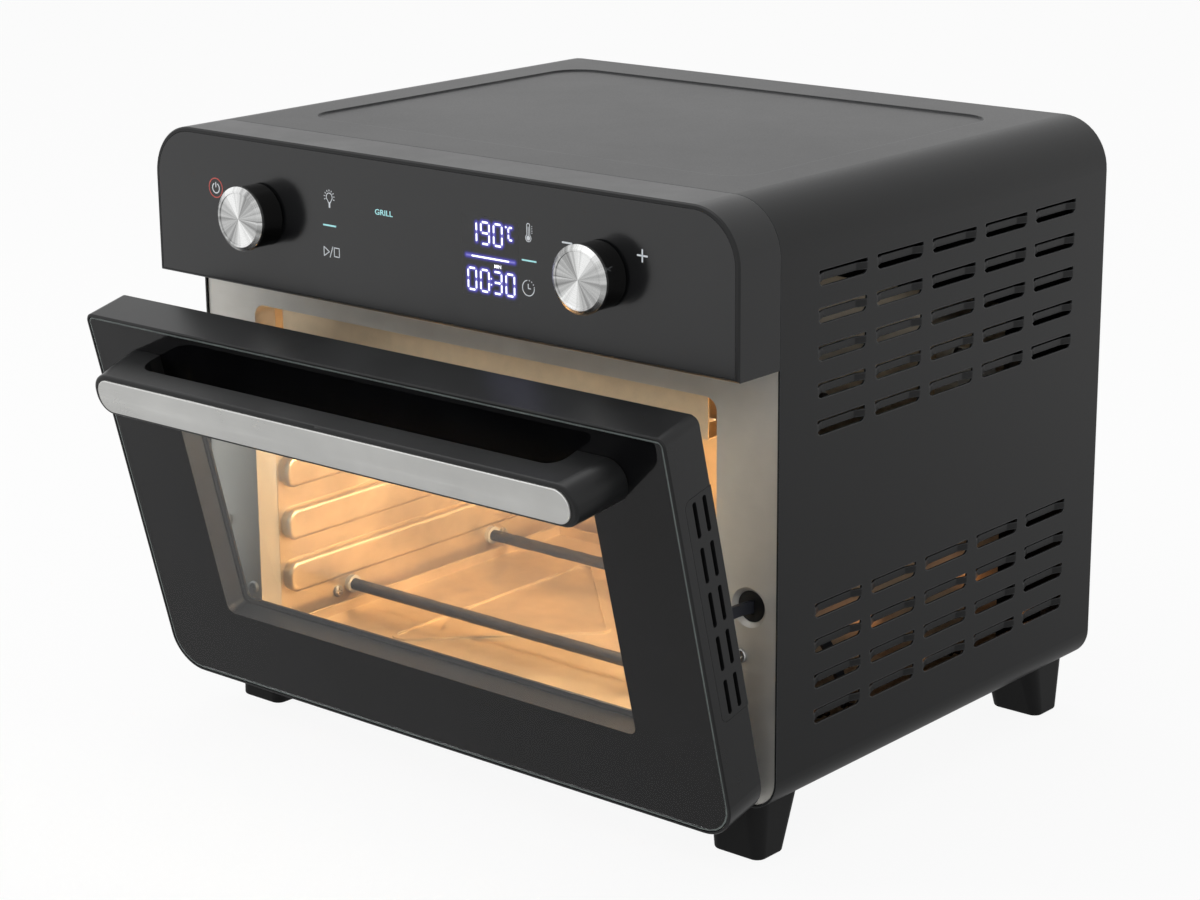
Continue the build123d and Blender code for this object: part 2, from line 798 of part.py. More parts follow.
def cavity_floor_plate():
    """The cavity's floor, on four posts that stand on the base panel."""
    wide = cavity_half + liner_sheet
    plate = block(-wide, wide, liner_front, cavity_back, cavity_floor - liner_sheet, cavity_floor)
    side = cavity_half - floor_post_inset
    for x in (-side, side):
        for y in (heater_front_y, heater_rear_y):
            low = base + shell_sheet + panel_sheet
            plate += bar_z(x, y, low, cavity_floor - liner_sheet, floor_post_radius)
    return plate


def cavity_rear():
    """The cavity's back wall with a pressed square."""
    wide = cavity_half + liner_sheet
    low, high = cavity_floor - liner_sheet, cavity_top + liner_sheet
    plate = block(-wide, wide, cavity_back, cavity_back + liner_sheet, low, high)
    middle = Pos(0, (cavity_floor + cavity_top) / 2)
    span = 2 * (cavity_half - rear_dish_inset)
    face = middle * RectangleRounded(span, rear_dish_height, 14)
    room = middle * RectangleRounded(span - 2 * liner_sheet, rear_dish_height - 2 * liner_sheet,
                                     14 - liner_sheet)
    dish = slab_y(face, cavity_back - rear_dish_depth, cavity_back + eps)
    dish = fillet(dish.faces().sort_by(Axis.Y)[0].edges(), 1.2)
    plate = plate + dish - slab_y(room, cavity_back - rear_dish_depth + liner_sheet, cavity_back + 2)
    plate -= bar_y(probe_x, probe_z, cavity_back - 3, cavity_back + 3, probe_radius + screw_gap)
    tab_x, tab_z = cavity_half - rear_tab_inset, cavity_top - rear_tab_drop
    for x in (-tab_x, tab_x):
        plate += block(x - 8, x + 8, cavity_back + liner_sheet, rear_panel_y, tab_z, tab_z + 1)
    return plate


def heater_shield():
    """The guard under the top heaters: a front band, a slotted tray and a rear band."""
    low = cavity_top - shield_drop
    y1 = cavity_back - shield_rear_gap
    high = cavity_top - joint_gap
    front = block(-shield_half, shield_half, shield_front, shield_front + liner_sheet, low, high)
    tray = block(-shield_half, shield_half, shield_front, y1, low, low + liner_sheet)
    rear = block(-shield_half, shield_half, y1 - liner_sheet, y1, low, cavity_top)
    lip_back = liner_front + 10
    lip = block(-shield_half, shield_half, liner_front, lip_back, cavity_top - liner_sheet, cavity_top)
    join = block(-shield_half, shield_half, shield_front, liner_front + 1, high - liner_sheet, high)
    slots = []
    middle_y = (shield_front + y1) / 2
    side = shield_half - shield_slot_margin
    for row in range(shield_slot_rows):
        for column in range(shield_slot_columns):
            x = side * (2 * column / (shield_slot_columns - 1) - 1)
            y = middle_y + (row - (shield_slot_rows - 1) / 2) * shield_slot_pitch
            slots.append(Pos(x, y) * SlotOverall(22, 8))
    guard = front + tray + rear + lip + join
    return guard - [slab_z(slot, low - 1, low + 2) for slot in slots]


def heater(y, z):
    """A straight sheathed heater across the cavity, with a pin at each end."""
    end = cavity_half + heater_overhang
    rod = bar_x(y, z, -end, end, heater_radius)
    return rod + bar_x(y, z, -end - 5, end + 5, 1.4)


def heater_insulators():
    """Eight ceramic bushes that carry the heaters in the side walls."""
    bushes = []
    for y in (heater_front_y, heater_rear_y):
        for z in (lower_heater_z, upper_heater_z):
            bush = bar_x(y, z, cavity_half - 3, cavity_half, heater_radius + bush_lip)
            bush += bar_x(y, z, cavity_half - 1, cavity_half + heater_overhang - 2, heater_radius + bush_wall)
            bush -= bar_x(y, z, cavity_half - 4, cavity_half + heater_overhang, heater_radius)
            bushes += both_sides(bush)
    return group(bushes)


def oven_lamp():
    """The lamp and its holder outside the right-hand cavity wall."""
    x0 = cavity_half + liner_sheet
    holder = bar_x(lamp_y, lamp_z, x0, x0 + 14, lamp_hole + 4)
    holder -= bar_x(lamp_y, lamp_z, x0 - 1, x0 + 11, lamp_hole - 2)
    bulb = bar_x(lamp_y, lamp_z, x0 + 1.5, x0 + 12, 7.0)
    bulb = fillet(bulb.faces().sort_by(Axis.X)[0].edges(), 5.0)
    return holder + bulb


def lamp_cover():
    """The glass cover of the lamp, domed into the cavity."""
    x0 = cavity_half
    dome = bar_x(lamp_y, lamp_z, x0 - 5, x0 + liner_sheet, lamp_hole - 0.4)
    dome = fillet(dome.faces().sort_by(Axis.X)[0].edges(), 4.0)
    flange = bar_x(lamp_y, lamp_z, x0 - 1.5, x0, lamp_hole + 3)
    return dome + flange


def tray_bead(wide, y0, y1):
    """The raised line that stiffens the tray's right half: a triangle that points to the middle."""
    x = wide - tray_bead_inset
    low, high = y0 + tray_bead_ends, y1 - tray_bead_ends
    corners = [(x, low), (x, high), (x - tray_bead_apex, (low + high) / 2)]
    pad = fillet(Polygon(*corners, align=None).vertices(), 8.0)
    line = pad - offset(pad, -tray_bead_width)
    z0 = cavity_floor + liner_sheet
    return slab_z(line, z0 - eps, z0 + tray_bead_height)


def crumb_tray():
    """The loose tray on the cavity's floor, with a turned-up rim, raised lines and a front pull."""
    wide = cavity_half - cavity_radius - tray_gap
    y0, y1 = frame_y + 3, cavity_back - 6
    z0 = cavity_floor
    tray = block(-wide, wide, y0, y1, z0, z0 + liner_sheet)
    rim_top = z0 + tray_rim
    inside = wide - liner_sheet
    tray += block(-wide, wide, y0, y1, z0, rim_top)
    tray -= block(-inside, inside, y0 + liner_sheet, y1 - liner_sheet, z0 + liner_sheet, rim_top + 1)
    for bead in both_sides(tray_bead(wide, y0, y1)):
        tray += bead
    return tray + block(-70, 70, y0 - tray_pull, y0 + 1, rim_top - liner_sheet, rim_top)


def temperature_probe():
    """The sensor that reaches into the cavity through its back wall."""
    probe = bar_y(probe_x, probe_z, cavity_back - probe_reach, cavity_back + 8, probe_radius)
    return probe + bar_y(probe_x, probe_z, cavity_back + liner_sheet, cavity_back + 5, probe_radius + 4)


def thermal_cutoff():
    """The safety cut-out on the cavity's roof."""
    z0 = cavity_top + liner_sheet
    y = fan_y + cutoff_offset
    body = bar_z(cutoff_x, y, z0, z0 + 9, 8.0)
    return body + block(cutoff_x - 12, cutoff_x + 12, y - 4, y + 4, z0, z0 + 1.5)


def door_switch():
    """The micro switch behind the frame that feels the stay."""
    x = stay_x
    z = base + stay_rise + switch_rise
    body = block(x - 5, x + 5, frame_back, frame_back + 18, z, z + 12)
    return body + block(x - 2, x + 2, frame_back + 8, frame_back + 16, z - 2.5, z)


def terminal_block():
    """The mains terminals inside the back, beside the inlet."""
    y1 = rear_panel_y
    z = base + inlet_rise
    body = block(inlet_x - 60, inlet_x - 24, y1 - 16, y1, z - 8, z + 8)
    holes = [bar_z(inlet_x - 54 + 12 * i, y1 - 8, z + 2, z + 9, 3.0) for i in range(3)]
    return body - holes


# Fan

def fan_motor():
    """The shaded-pole motor on its bracket above the cavity."""
    z0 = cavity_top + liner_sheet
    z1 = motor_low
    plan = Pos(0, fan_y) * RectangleRounded(motor_deck_width, motor_deck_depth, 8)
    deck = slab_z(plan, z1 - motor_sheet, z1)
    y0, y1 = fan_y - motor_leg_width / 2, fan_y + motor_leg_width / 2
    leg = block(motor_leg_x - motor_sheet / 2, motor_leg_x + motor_sheet / 2, y0, y1, z0, z1)
    leg += block(motor_leg_x, motor_leg_x + 11, y0, y1, z0, z0 + motor_sheet)
    deck += both_sides(leg)
    motor = bar_z(0, fan_y, z1, z1 + motor_height, motor_radius)
    motor = fillet(motor.faces().sort_by(Axis.Z)[-1].edges(), 4.0)
    return deck + motor - bar_z(0, fan_y, z0, z1 + motor_height - 6, shaft_radius + shaft_fit)


def fan_shaft():
    """The upright shaft that carries both fan wheels."""
    low = cavity_top - fan_drop - fan_height - 3
    shaft = bar_z(0, fan_y, low, motor_low + motor_height - 8, shaft_radius)
    collar_top = motor_low - motor_sheet - 2 * joint_gap
    return shaft + bar_z(0, fan_y, collar_top - 1.5, collar_top, shaft_radius + 1.5)


def fan_wheel(radius, height, blades, z_disc, down):
    """A pressed wheel: a disc, a hub and flat blades, standing on one side of the disc."""
    wheel = bar_z(0, fan_y, z_disc, z_disc + 1.0, radius)
    z0 = z_disc - height if down else z_disc + 1.0 - eps
    z1 = z_disc + eps if down else z_disc + 1.0 + height
    blade = block(radius * 0.42, radius - 1, -0.5, 0.5, z0, z1)
    for i in range(blades):
        wheel += Pos(0, fan_y, 0) * Rot(0, 0, i * 360 / blades) * blade
    wheel += bar_z(0, fan_y, z0, z1, shaft_radius + 4)
    return wheel - bar_z(0, fan_y, z0 - 1, z1 + 1, shaft_radius)


def convection_fan():
    """The wheel that drives the hot air, under the cavity's roof."""
    return fan_wheel(fan_radius, fan_height, fan_blades, cavity_top - fan_drop, True)


def cooling_fan():
    """The wheel that cools the electronics, above the cavity's roof."""
    return fan_wheel(cooling_radius, cooling_height, fan_blades, cavity_top + liner_sheet + 4, False)


# Door, drawn closed

def door_outline(inset):
    """The door's outline from the front, drawn inside its edge by inset."""
    return face_outline(half - inset, door_z + inset, door_z + door_height - inset,
                        max(door_bottom_radius - inset, 0.5), max(door_top_radius - inset, 0.5))


def ear_slot(sign):
    """The room that the hinge ear needs in the door, at the lower back corner."""
    x = sign * ear_x
    reach = ear_radius + 1.0
    wide = ear_thick / 2 + 0.8
    return block(x - wide, x + wide, hinge_y - reach, 1, door_z - 1, hinge_z + reach)


def vent_cut(grow):
    """The place of the slotted insert in the door's right-hand edge."""
    y0, y1 = door_back - vent_depth, door_back
    z0 = door_z + vent_low
    plan = Pos((y0 + y1) / 2, z0 + vent_height / 2) * Rectangle(y1 - y0 + 2 * grow, vent_height + 2 * grow)
    plan = fillet(plan.vertices().group_by(Axis.X)[0], 4.0 + grow)
    return slab_x(plan, half - door_wall, half + grow)


def door_surround():
    """The door's moulded edge: a deep ring with a rebate for the glass."""
    ring = slab_y(door_outline(0), door_y, door_back)
    ring = chamfer(ring.faces().sort_by(Axis.Y)[0].outer_wire().edges(), 0.6)
    ring = fillet(ring.faces().sort_by(Axis.Y)[-1].outer_wire().edges(), 1.0)
    ring -= slab_y(door_outline(door_wall), door_y - 1, door_back + 1)
    ring -= slab_y(door_outline(glass_reveal), door_y - 1, glass_plane)
    for cut in both_sides(vent_cut(0.2)):
        ring -= cut
    return ring - ear_slot(1) - ear_slot(-1)


def door_vent(sign):
    """The slotted insert in one edge of the door."""
    plate = vent_cut(0.0)
    pitch = vent_height / vent_rows
    slots = []
    for y in (door_back - vent_depth + 6.5, door_back - 6.0):
        for row in range(vent_rows):
            z = door_z + vent_low + pitch * (row + 0.5)
            slots.append(slab_x(Pos(y, z) * SlotOverall(pitch - 5, 2.8, rotation=90), half - 5, half + 1))
    plate -= slots
    return plate if sign > 0 else mirror(plate, about=Plane.YZ)


def door_outer_glass():
    """The big front pane."""
    pane = slab_y(door_outline(glass_reveal + 0.2), door_y, glass_plane)
    pane = chamfer(pane.faces().sort_by(Axis.Y)[0].outer_wire().edges(), 0.5)
    return pane - [bar_y(x, handle_z, door_y - 1, glass_plane + 1, 2.4) for x in (-post_x, post_x)]


def inner_window(grow):
    """The outline of the window in the door's inner frame."""
    side = window_half + inner_window_side + grow
    low = door_z + window_low - inner_window_foot - grow
    high = door_z + window_high + inner_window_head + grow
    return face_outline(side, low, high, 4, 4)


def door_inner_frame():
    """The pressed pan behind the glass, with the tunnel round the window and the hinge blocks."""
    skirt = door_wall + pan_margin
    pan = slab_y(door_outline(skirt), pan_back - pan_sheet, pan_back)
    pan -= slab_y(inner_window(-3), pan_back - 3, pan_back + 1)
    pan += slab_y(inner_window(pan_sheet) - inner_window(0), glass_plane, pan_back - pan_sheet + eps)
    rim = door_back - 4
    pan += slab_y(door_outline(skirt) - door_outline(skirt + pan_sheet), rim, pan_back - pan_sheet + eps)
    pan += slab_y(door_outline(door_wall + 0.2) - door_outline(skirt + pan_sheet), rim - 1, rim)
    inside = slab_y(door_outline(door_wall + 0.2), glass_plane, pan_back)
    for sign in (-1, 1):
        x = sign * ear_x
        lug_half = pin_length / 2 - 1
        lug = block(x - lug_half, x + lug_half, hinge_y - 7, pan_back, door_z + 1, hinge_z + 16)
        pan += lug & inside
    bores = [bar_x(hinge_y, hinge_z, x - pin_length, x + pin_length, pin_radius) for x in (-ear_x, ear_x)]
    return pan - bores - ear_slot(1) - ear_slot(-1)


def door_inner_glass():
    """The small pane in the inner frame's window."""
    return slab_y(inner_window(-0.2), pan_back - pan_sheet - inner_glass, pan_back - pan_sheet)


def hinge_pins():
    """The two pins that the door turns on."""
    reach = pin_length / 2
    return group([bar_x(hinge_y, hinge_z, x - reach, x + reach, pin_radius) for x in (-ear_x, ear_x)])


def handle_body():
    """The handle: a bar on two posts that flare towards the glass, cut free behind for the fingers."""
    front = door_y - handle_reach
    rounding = handle_height / 2 - 1
    near = Plane(origin=(0, door_y, handle_z), x_dir=(1, 0, 0), z_dir=(0, -1, 0))
    far = Plane(origin=(0, front, handle_z), x_dir=(1, 0, 0), z_dir=(0, -1, 0))
    flare = handle_half + handle_flare
    bar = loft([near * RectangleRounded(2 * flare, handle_height, rounding),
                far * RectangleRounded(2 * handle_half, handle_height, rounding)])
    bar = fillet(bar.faces().sort_by(Axis.Y)[0].edges(), 1.6)
    gap_half = handle_half - handle_post
    depth = handle_reach - handle_bar
    finger = Pos(0, door_y - depth / 2 + 10) * RectangleRounded(2 * gap_half, depth + 20, 9)
    bar -= slab_z(finger, handle_z - handle_height, handle_z + handle_height)
    return bar - [bar_y(x, handle_z, door_y - 16, door_y + 1, 2.0) for x in (-post_x, post_x)]


def handle_trim():
    """The metal strip on the handle's front."""
    front = door_y - handle_reach
    rounding = trim_height / 2 - 0.8
    strip = RectangleRounded(2 * (handle_half - trim_inset), trim_height, rounding)
    trim = slab_y(Pos(0, handle_z) * strip, front - trim_thick, front)
    return chamfer(trim.faces().sort_by(Axis.Y)[0].edges(), 0.3)


def handle_screws():
    """The two screws that hold the handle from inside the door."""
    screws = []
    for x in (-post_x, post_x):
        head = bar_y(x, handle_z, glass_plane, glass_plane + 3, 4.5)
        screws.append(bar_y(x, handle_z, door_y - 14, glass_plane, 2.0) + head)
    return group(screws)


def arc_point(radius, angle):
    """A point at a radius from the hinge axis, at an angle from upright towards the back."""
    turn = math.radians(angle)
    return (hinge_y + radius * math.sin(turn), hinge_z + radius * math.cos(turn))


def stay_arm():
    """The curved stay, centred on the hinge, from the door's pan to its stop pin."""
    x = stay_x
    start = -4.0
    outer_r, inner_r = stay_radius + stay_width / 2, stay_radius - stay_width / 2
    tail = stop_angle + 0.8
    middle = (start + tail) / 2
    outline = make_face(Curve() + [
        ThreePointArc(arc_point(outer_r, start), arc_point(outer_r, middle), arc_point(outer_r, tail)),
        Line(arc_point(outer_r, tail), arc_point(inner_r, tail)),
        ThreePointArc(arc_point(inner_r, tail), arc_point(inner_r, middle), arc_point(inner_r, start)),
        Line(arc_point(inner_r, start), arc_point(outer_r, start))])
    arm = slab_x(outline, x - stay_thick / 2, x + stay_thick / 2)
    y, z = arc_point(stay_radius, start)
    arm += block(x - 5, x + 5, pan_back - pan_sheet - 2.0, pan_back - pan_sheet, z - 12, z + 4)
    arm += block(x - stay_thick / 2, x + stay_thick / 2, y - 1, pan_back - pan_sheet, z - 8, z + 2)
    y, z = arc_point(stay_radius, stop_angle)
    return arm + bar_x(y, z, x - 4.5, x + 4.5, stay_pin)


def swing(shape, degrees):
    """Turn a door piece about the hinge; a positive angle opens the door."""
    hinge = Pos(0, hinge_y, hinge_z)
    return hinge * Rot(degrees, 0, 0) * Pos(0, -hinge_y, -hinge_z) * shape


def door_pieces():
    """Every node that turns with the door, drawn closed."""
    return {
        "door_surround": door_surround(),
        "door_outer_glass": door_outer_glass(),
        "door_inner_frame": door_inner_frame() - stay_slot(),
        "door_inner_glass": door_inner_glass(),
        "door_vent_left": door_vent(-1),
        "door_vent_right": door_vent(1),
        "hinge_pins": hinge_pins(),
        "handle_bar": handle_body(),
        "handle_trim": handle_trim(),
        "handle_screws": handle_screws(),
        "stay_arm": stay_arm(),
    }


def stay_slot():
    """The slot in the door's pan that the stay comes out of."""
    z = hinge_z + stay_radius
    wide = stay_thick / 2
    y0, y1 = pan_back - 2 * pan_sheet, pan_back + 1
    return block(stay_x - wide, stay_x + wide, y0, y1, z - 6, z + 5)


def cabinet_pieces():
    """Every node that stays with the cabinet."""
    pieces = {
        "outer_shell": outer_shell(),
        "rear_panel": rear_panel(),
        "base_panel": base_panel(),
        "front_frame": front_frame(),
        "case_screws": case_screws(),
        "foot_screws": foot_screws(),
        "rear_spacer": rear_spacer(),
        "cord_inlet": cord_inlet(),
        "terminal_block": terminal_block(),
        "stay_guide": stay_guide(),
        "hinge_brackets": hinge_brackets(),
        "door_switch": door_switch(),
        "control_housing": control_housing(),
        "control_glass": control_glass(),
        "display_board": display_board(),
        "display_module": display_module(),
        "encoder_bodies": encoder_bodies(),
        "power_board": power_board(),
        "cavity_left_wall": cavity_side(-1),
        "cavity_right_wall": cavity_side(1),
        "cavity_ceiling": cavity_ceiling(),
        "cavity_floor": cavity_floor_plate(),
        "cavity_rear_wall": cavity_rear(),
        "heater_shield": heater_shield(),
        "lower_front_heater": heater(heater_front_y, lower_heater_z),
        "lower_rear_heater": heater(heater_rear_y, lower_heater_z),
        "upper_front_heater": heater(heater_front_y, upper_heater_z),
        "upper_rear_heater": heater(heater_rear_y, upper_heater_z),
        "heater_insulators": heater_insulators(),
        "oven_lamp": oven_lamp(),
        "lamp_cover": lamp_cover(),
        "crumb_tray": crumb_tray(),
        "temperature_probe": temperature_probe(),
        "thermal_cutoff": thermal_cutoff(),
        "fan_motor": fan_motor(),
        "fan_shaft": fan_shaft(),
        "convection_fan": convection_fan(),
        "cooling_fan": cooling_fan(),
    }
    for side, sign in (("left", -1), ("right", 1)):
        pieces[f"foot_front_{side}"] = foot(sign, False)
        pieces[f"foot_rear_{side}"] = foot(sign, True)
        pieces[f"{side}_encoder_shaft"] = encoder_shaft(sign)
        pieces[f"{side}_knob_barrel"] = knob_barrel(sign)
        pieces[f"{side}_knob_cap"] = knob_cap(sign)
    return pieces


def place_origin(pieces):
    """Move every piece along Y so that the origin is under the middle of the part's box."""
    boxes = [shape.bounding_box() for shape in pieces.values()]
    low = min(box.min.Y for box in boxes)
    high = max(box.max.Y for box in boxes)
    shift = -(low + high) / 2
    return {name: Pos(0, shift, 0) * shape for name, shape in pieces.items()}, shift


def build_pieces():
    """All nodes at rest, the door ajar, and how far the origin was moved along Y."""
    pieces = cabinet_pieces()
    for name, shape in door_pieces().items():
        pieces[name] = swing(shape, door_ajar)
    return place_origin(pieces)


def main():
    os.makedirs("parts", exist_ok=True)
    pieces, shift = build_pieces()
    for name, shape in pieces.items():
        export_step(shape, f"parts/{name}.step")
    print(f"{len(pieces)} nodes, moved {shift:.3f} mm along Y")


if __name__ == "__main__":
    main()
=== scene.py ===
import json
import math

import bmesh
import bpy
from bpy.props import FloatProperty, FloatVectorProperty, IntProperty, PointerProperty
from mathutils import Matrix, Vector


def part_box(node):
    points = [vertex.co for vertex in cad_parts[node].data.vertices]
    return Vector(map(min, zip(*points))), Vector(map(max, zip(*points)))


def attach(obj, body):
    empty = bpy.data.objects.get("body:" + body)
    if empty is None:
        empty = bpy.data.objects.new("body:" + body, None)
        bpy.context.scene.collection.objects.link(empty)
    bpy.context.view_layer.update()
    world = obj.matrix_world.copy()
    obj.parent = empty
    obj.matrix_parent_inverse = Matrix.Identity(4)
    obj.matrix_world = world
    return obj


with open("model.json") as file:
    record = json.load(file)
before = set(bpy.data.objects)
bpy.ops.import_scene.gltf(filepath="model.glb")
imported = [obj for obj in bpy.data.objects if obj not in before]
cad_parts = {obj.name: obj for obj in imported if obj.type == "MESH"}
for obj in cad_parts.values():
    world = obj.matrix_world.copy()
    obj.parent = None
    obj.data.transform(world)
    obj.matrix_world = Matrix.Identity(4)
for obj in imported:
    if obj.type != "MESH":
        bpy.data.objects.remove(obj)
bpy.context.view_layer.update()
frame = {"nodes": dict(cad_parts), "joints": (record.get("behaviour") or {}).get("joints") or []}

bl_info = {
    "name": "Countertop Oven Finish",
    "version": (1, 0, 0),
    "blender": (4, 5, 0),
    "location": "View3D > Sidebar > Oven",
    "description": "Finishes, printed symbols, lit display, door print and studio of a countertop oven",
    "category": "Object",
}

MM = 0.001

# Places read from the frame
SHELL_LOW, SHELL_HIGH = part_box("outer_shell")
GLASS_LOW, GLASS_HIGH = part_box("control_glass")
CAP_LOW, CAP_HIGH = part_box("right_knob_cap")
LAMP_LOW, LAMP_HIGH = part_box("lamp_cover")
FRONT_Y = SHELL_LOW.y
BASE_Z = SHELL_LOW.z
PANEL_Y = GLASS_LOW.y
KNOB_X = (CAP_LOW.x + CAP_HIGH.x) / 2
KNOB_Z = (CAP_LOW.z + CAP_HIGH.z) / 2
DOOR_HINGE = next(joint for joint in frame["joints"] if joint["name"] == "door_hinge")
HINGE = Vector(DOOR_HINGE["pos_m"])
DOOR_TILT = -math.radians(DOOR_HINGE["range_deg"][0])

# The door's outline against the shell's base and the panel above it
DOOR_FOOT = 1.5 * MM
DOOR_HEAD = 3.8 * MM
DOOR_FOOT_RADIUS = 20 * MM
DOOR_HEAD_RADIUS = 5 * MM
LEAST_RADIUS = 0.5 * MM

# The print's thickness, and how far the ground edge stands before the print
PRINT_THICKNESS = 0.1 * MM
GROUND_EDGE_AHEAD = 3 * MM

# The lights inside the oven: their colours, their places and how large they are
OVEN_LIGHT_COLOUR = (1.0, 0.78, 0.52)
LAMP_GAP = 12 * MM
LAMP_RADIUS = 10 * MM
FILL_BEHIND_FRONT = 70 * MM
FILL_BELOW_LAMP = 5 * MM
FILL_RADIUS = 30 * MM
VENT_LIGHT_COLOUR = (1.0, 0.45, 0.18)
VENT_LIGHT_DEPTHS = (-0.055, 0.05, 0.15)
VENT_LIGHT_INSET = 18 * MM
VENT_LIGHT_HEIGHT = 50 * MM
VENT_LIGHT_RADIUS = 4 * MM

# The soft lamps of the studio
TOP_LAMP = {"place": (-0.35, -0.25, 1.9), "aim": (0, 0, 0.2), "size": 1.7}
FRONT_LAMP = {"place": (-1.5, -1.5, 1.2), "aim": (0, -0.1, 0.15), "size": 1.3}

# The floor's own light, and the painted shade that dims it near the oven for the rays that a gloss sends
# down
FLOOR_OWN_LIGHT = 0.92
FLOOR_DIM = 0.50
FLOOR_DIM_TO = 0.3
FLOOR_WHITE_FROM = 1.4

# The camera's angles in radians, and its place from the foot of the cabinet's front edge
CAMERA_TURN, CAMERA_TIP, CAMERA_ROLL = 0.7081, 0.2780, -0.0081
CAMERA_RIGHT, CAMERA_BEFORE, CAMERA_ABOVE = 0.98626, 1.04868, 0.56046
SENSOR_WIDTH = 36.0
VIEW_DEPTH = 60.0


class OvenPaint(bpy.types.PropertyGroup):
    """Colours and gloss of the oven's own finishes."""

    shell_colour: FloatVectorProperty(
        name="Shell", description="Colour of the powder coat", subtype="COLOR", size=3,
        min=0, max=1, default=(0.0085, 0.0088, 0.0092))
    shell_roughness: FloatProperty(
        name="Shell Roughness", description="Roughness of the powder coat", default=0.36, min=0, max=1)
    frame_colour: FloatVectorProperty(
        name="Front Frame", description="Colour of the stainless front frame", subtype="COLOR", size=3,
        min=0, max=1, default=(0.64, 0.625, 0.585))
    # The liner's golden colour is painted warm light
    liner_colour: FloatVectorProperty(
        name="Cavity Steel", description="Colour of the steel liner", subtype="COLOR", size=3,
        min=0, max=1, default=(0.74, 0.60, 0.42))
    cap_colour: FloatVectorProperty(
        name="Knob Caps", description="Colour of the spun aluminium caps", subtype="COLOR", size=3,
        min=0, max=1, default=(0.78, 0.785, 0.78))
    edge_radius: FloatProperty(
        name="Edge Softness", description="Radius that edges look rounded by", subtype="DISTANCE",
        default=0.35 * MM, min=0)


class OvenPanelPrint(bpy.types.PropertyGroup):
    """Sizes and colours of the printed and lit symbols."""

    stroke: FloatProperty(
        name="Stroke", description="Width of a symbol's lines", subtype="DISTANCE", default=0.62 * MM)
    proud: FloatProperty(
        name="Thickness", description="How far a print stands on the glass", subtype="DISTANCE",
        default=0.08 * MM)
    digit_width: FloatProperty(
        name="Digit Width", description="Between the middles of a digit's upright bars",
        subtype="DISTANCE", default=5.4 * MM)
    digit_height: FloatProperty(
        name="Digit Height", description="Between the middles of a digit's level bars",
        subtype="DISTANCE", default=10.8 * MM)
    digit_pitch: FloatProperty(
        name="Digit Pitch", description="From one digit to the next", subtype="DISTANCE",
        default=8.45 * MM)
    digit_bar: FloatProperty(
        name="Digit Bar", description="Width of one lit bar", subtype="DISTANCE", default=1.05 * MM)
    glow_reach: FloatProperty(
        name="Glow Reach", description="How far the glow spreads round a lit bar", subtype="DISTANCE",
        default=1.05 * MM)
    print_colour: FloatVectorProperty(
        name="Print", description="Colour of the plain symbols", subtype="COLOR", size=3,
        min=0, max=1, default=(0.60, 0.63, 0.66))
    accent_colour: FloatVectorProperty(
        name="Accent", description="Colour of the pale blue symbols", subtype="COLOR", size=3,
        min=0, max=1, default=(0.30, 0.60, 0.62))
    ring_colour: FloatVectorProperty(
        name="Power Ring", description="Colour of the ring round the power symbol", subtype="COLOR",
        size=3, min=0, max=1, default=(0.42, 0.07, 0.06))
    glow_colour: FloatVectorProperty(
        name="Glow", description="Colour of the glow round the lit bars", subtype="COLOR", size=3,
        min=0, max=1, default=(0.16, 0.14, 0.75))


class OvenDoorPrint(bpy.types.PropertyGroup):
    """Sizes of the black print behind the door's outer pane."""

    side: FloatProperty(
        name="Window Inset", description="From the shell's side to the window", subtype="DISTANCE",
        default=54 * MM)
    low: FloatProperty(
        name="Window Foot", description="Height of the window's lower edge above the shell's base",
        subtype="DISTANCE", default=47.5 * MM)
    high: FloatProperty(
        name="Window Head", description="Height of the window's upper edge above the shell's base",
        subtype="DISTANCE", default=185.5 * MM)
    corner: FloatProperty(
        name="Window Corner", description="Radius of the window's corners", subtype="DISTANCE",
        default=5 * MM)
    edge: FloatProperty(
        name="Print Inset", description="From the shell's side to the print's edge",
        subtype="DISTANCE", default=2.1 * MM)
    plane: FloatProperty(
        name="Print Plane", description="The print's face, before the cabinet's front edge",
        subtype="DISTANCE", default=30.8 * MM)
    ground_edge: FloatProperty(
        name="Ground Edge", description="Width of the pane's pale ground edge", subtype="DISTANCE",
        default=0.7 * MM)


class OvenStudio(bpy.types.PropertyGroup):
    """The floor, the lamps and the camera."""

    floor_radius: FloatProperty(
        name="Floor Radius", description="Radius of the pale floor", subtype="DISTANCE", default=9.0)
    world_light: FloatProperty(
        name="World Light", description="Strength of the white surroundings on matt surfaces",
        default=0.62)
    top_lamp: FloatProperty(
        name="Top Lamp", description="Power of the lamp overhead", subtype="POWER", default=12.0)
    front_lamp: FloatProperty(
        name="Front Lamp", description="Power of the lamp at the front left", subtype="POWER",
        default=9.0)
    oven_lamp: FloatProperty(
        name="Oven Lamp", description="Power of the lamp in the cavity", subtype="POWER", default=2.7)
    oven_fill: FloatProperty(
        name="Oven Fill", description="Power of the light that the bright liner throws back",
        subtype="POWER", default=0.7)
    vent_glow: FloatProperty(
        name="Vent Glow", description="Power of the warm light behind the louvres", subtype="POWER",
        default=0.002)
    lens: FloatProperty(name="Lens", description="Focal length of the camera", default=86.4)
    samples: IntProperty(
        name="Edge Samples", description="Samples of the rounded edges", default=4, min=2, max=16)


# Shader trees

def put(tree, kind, inputs=None, **settings):
    """Adds a node. Each input, by name or number, is a plain value or a socket to link."""
    made = tree.nodes.new("ShaderNode" + kind)
    for name, value in settings.items():
        setattr(made, name, value)
    for key, value in (inputs or {}).items():
        if isinstance(value, bpy.types.NodeSocket):
            tree.links.new(value, made.inputs[key])
        else:
            made.inputs[key].default_value = value
    return made


def reckon(tree, operation, first, second=0.0, clamp=False):
    """Works out one number from two."""
    return put(tree, "Math", {0: first, 1: second}, operation=operation, use_clamp=clamp).outputs[0]


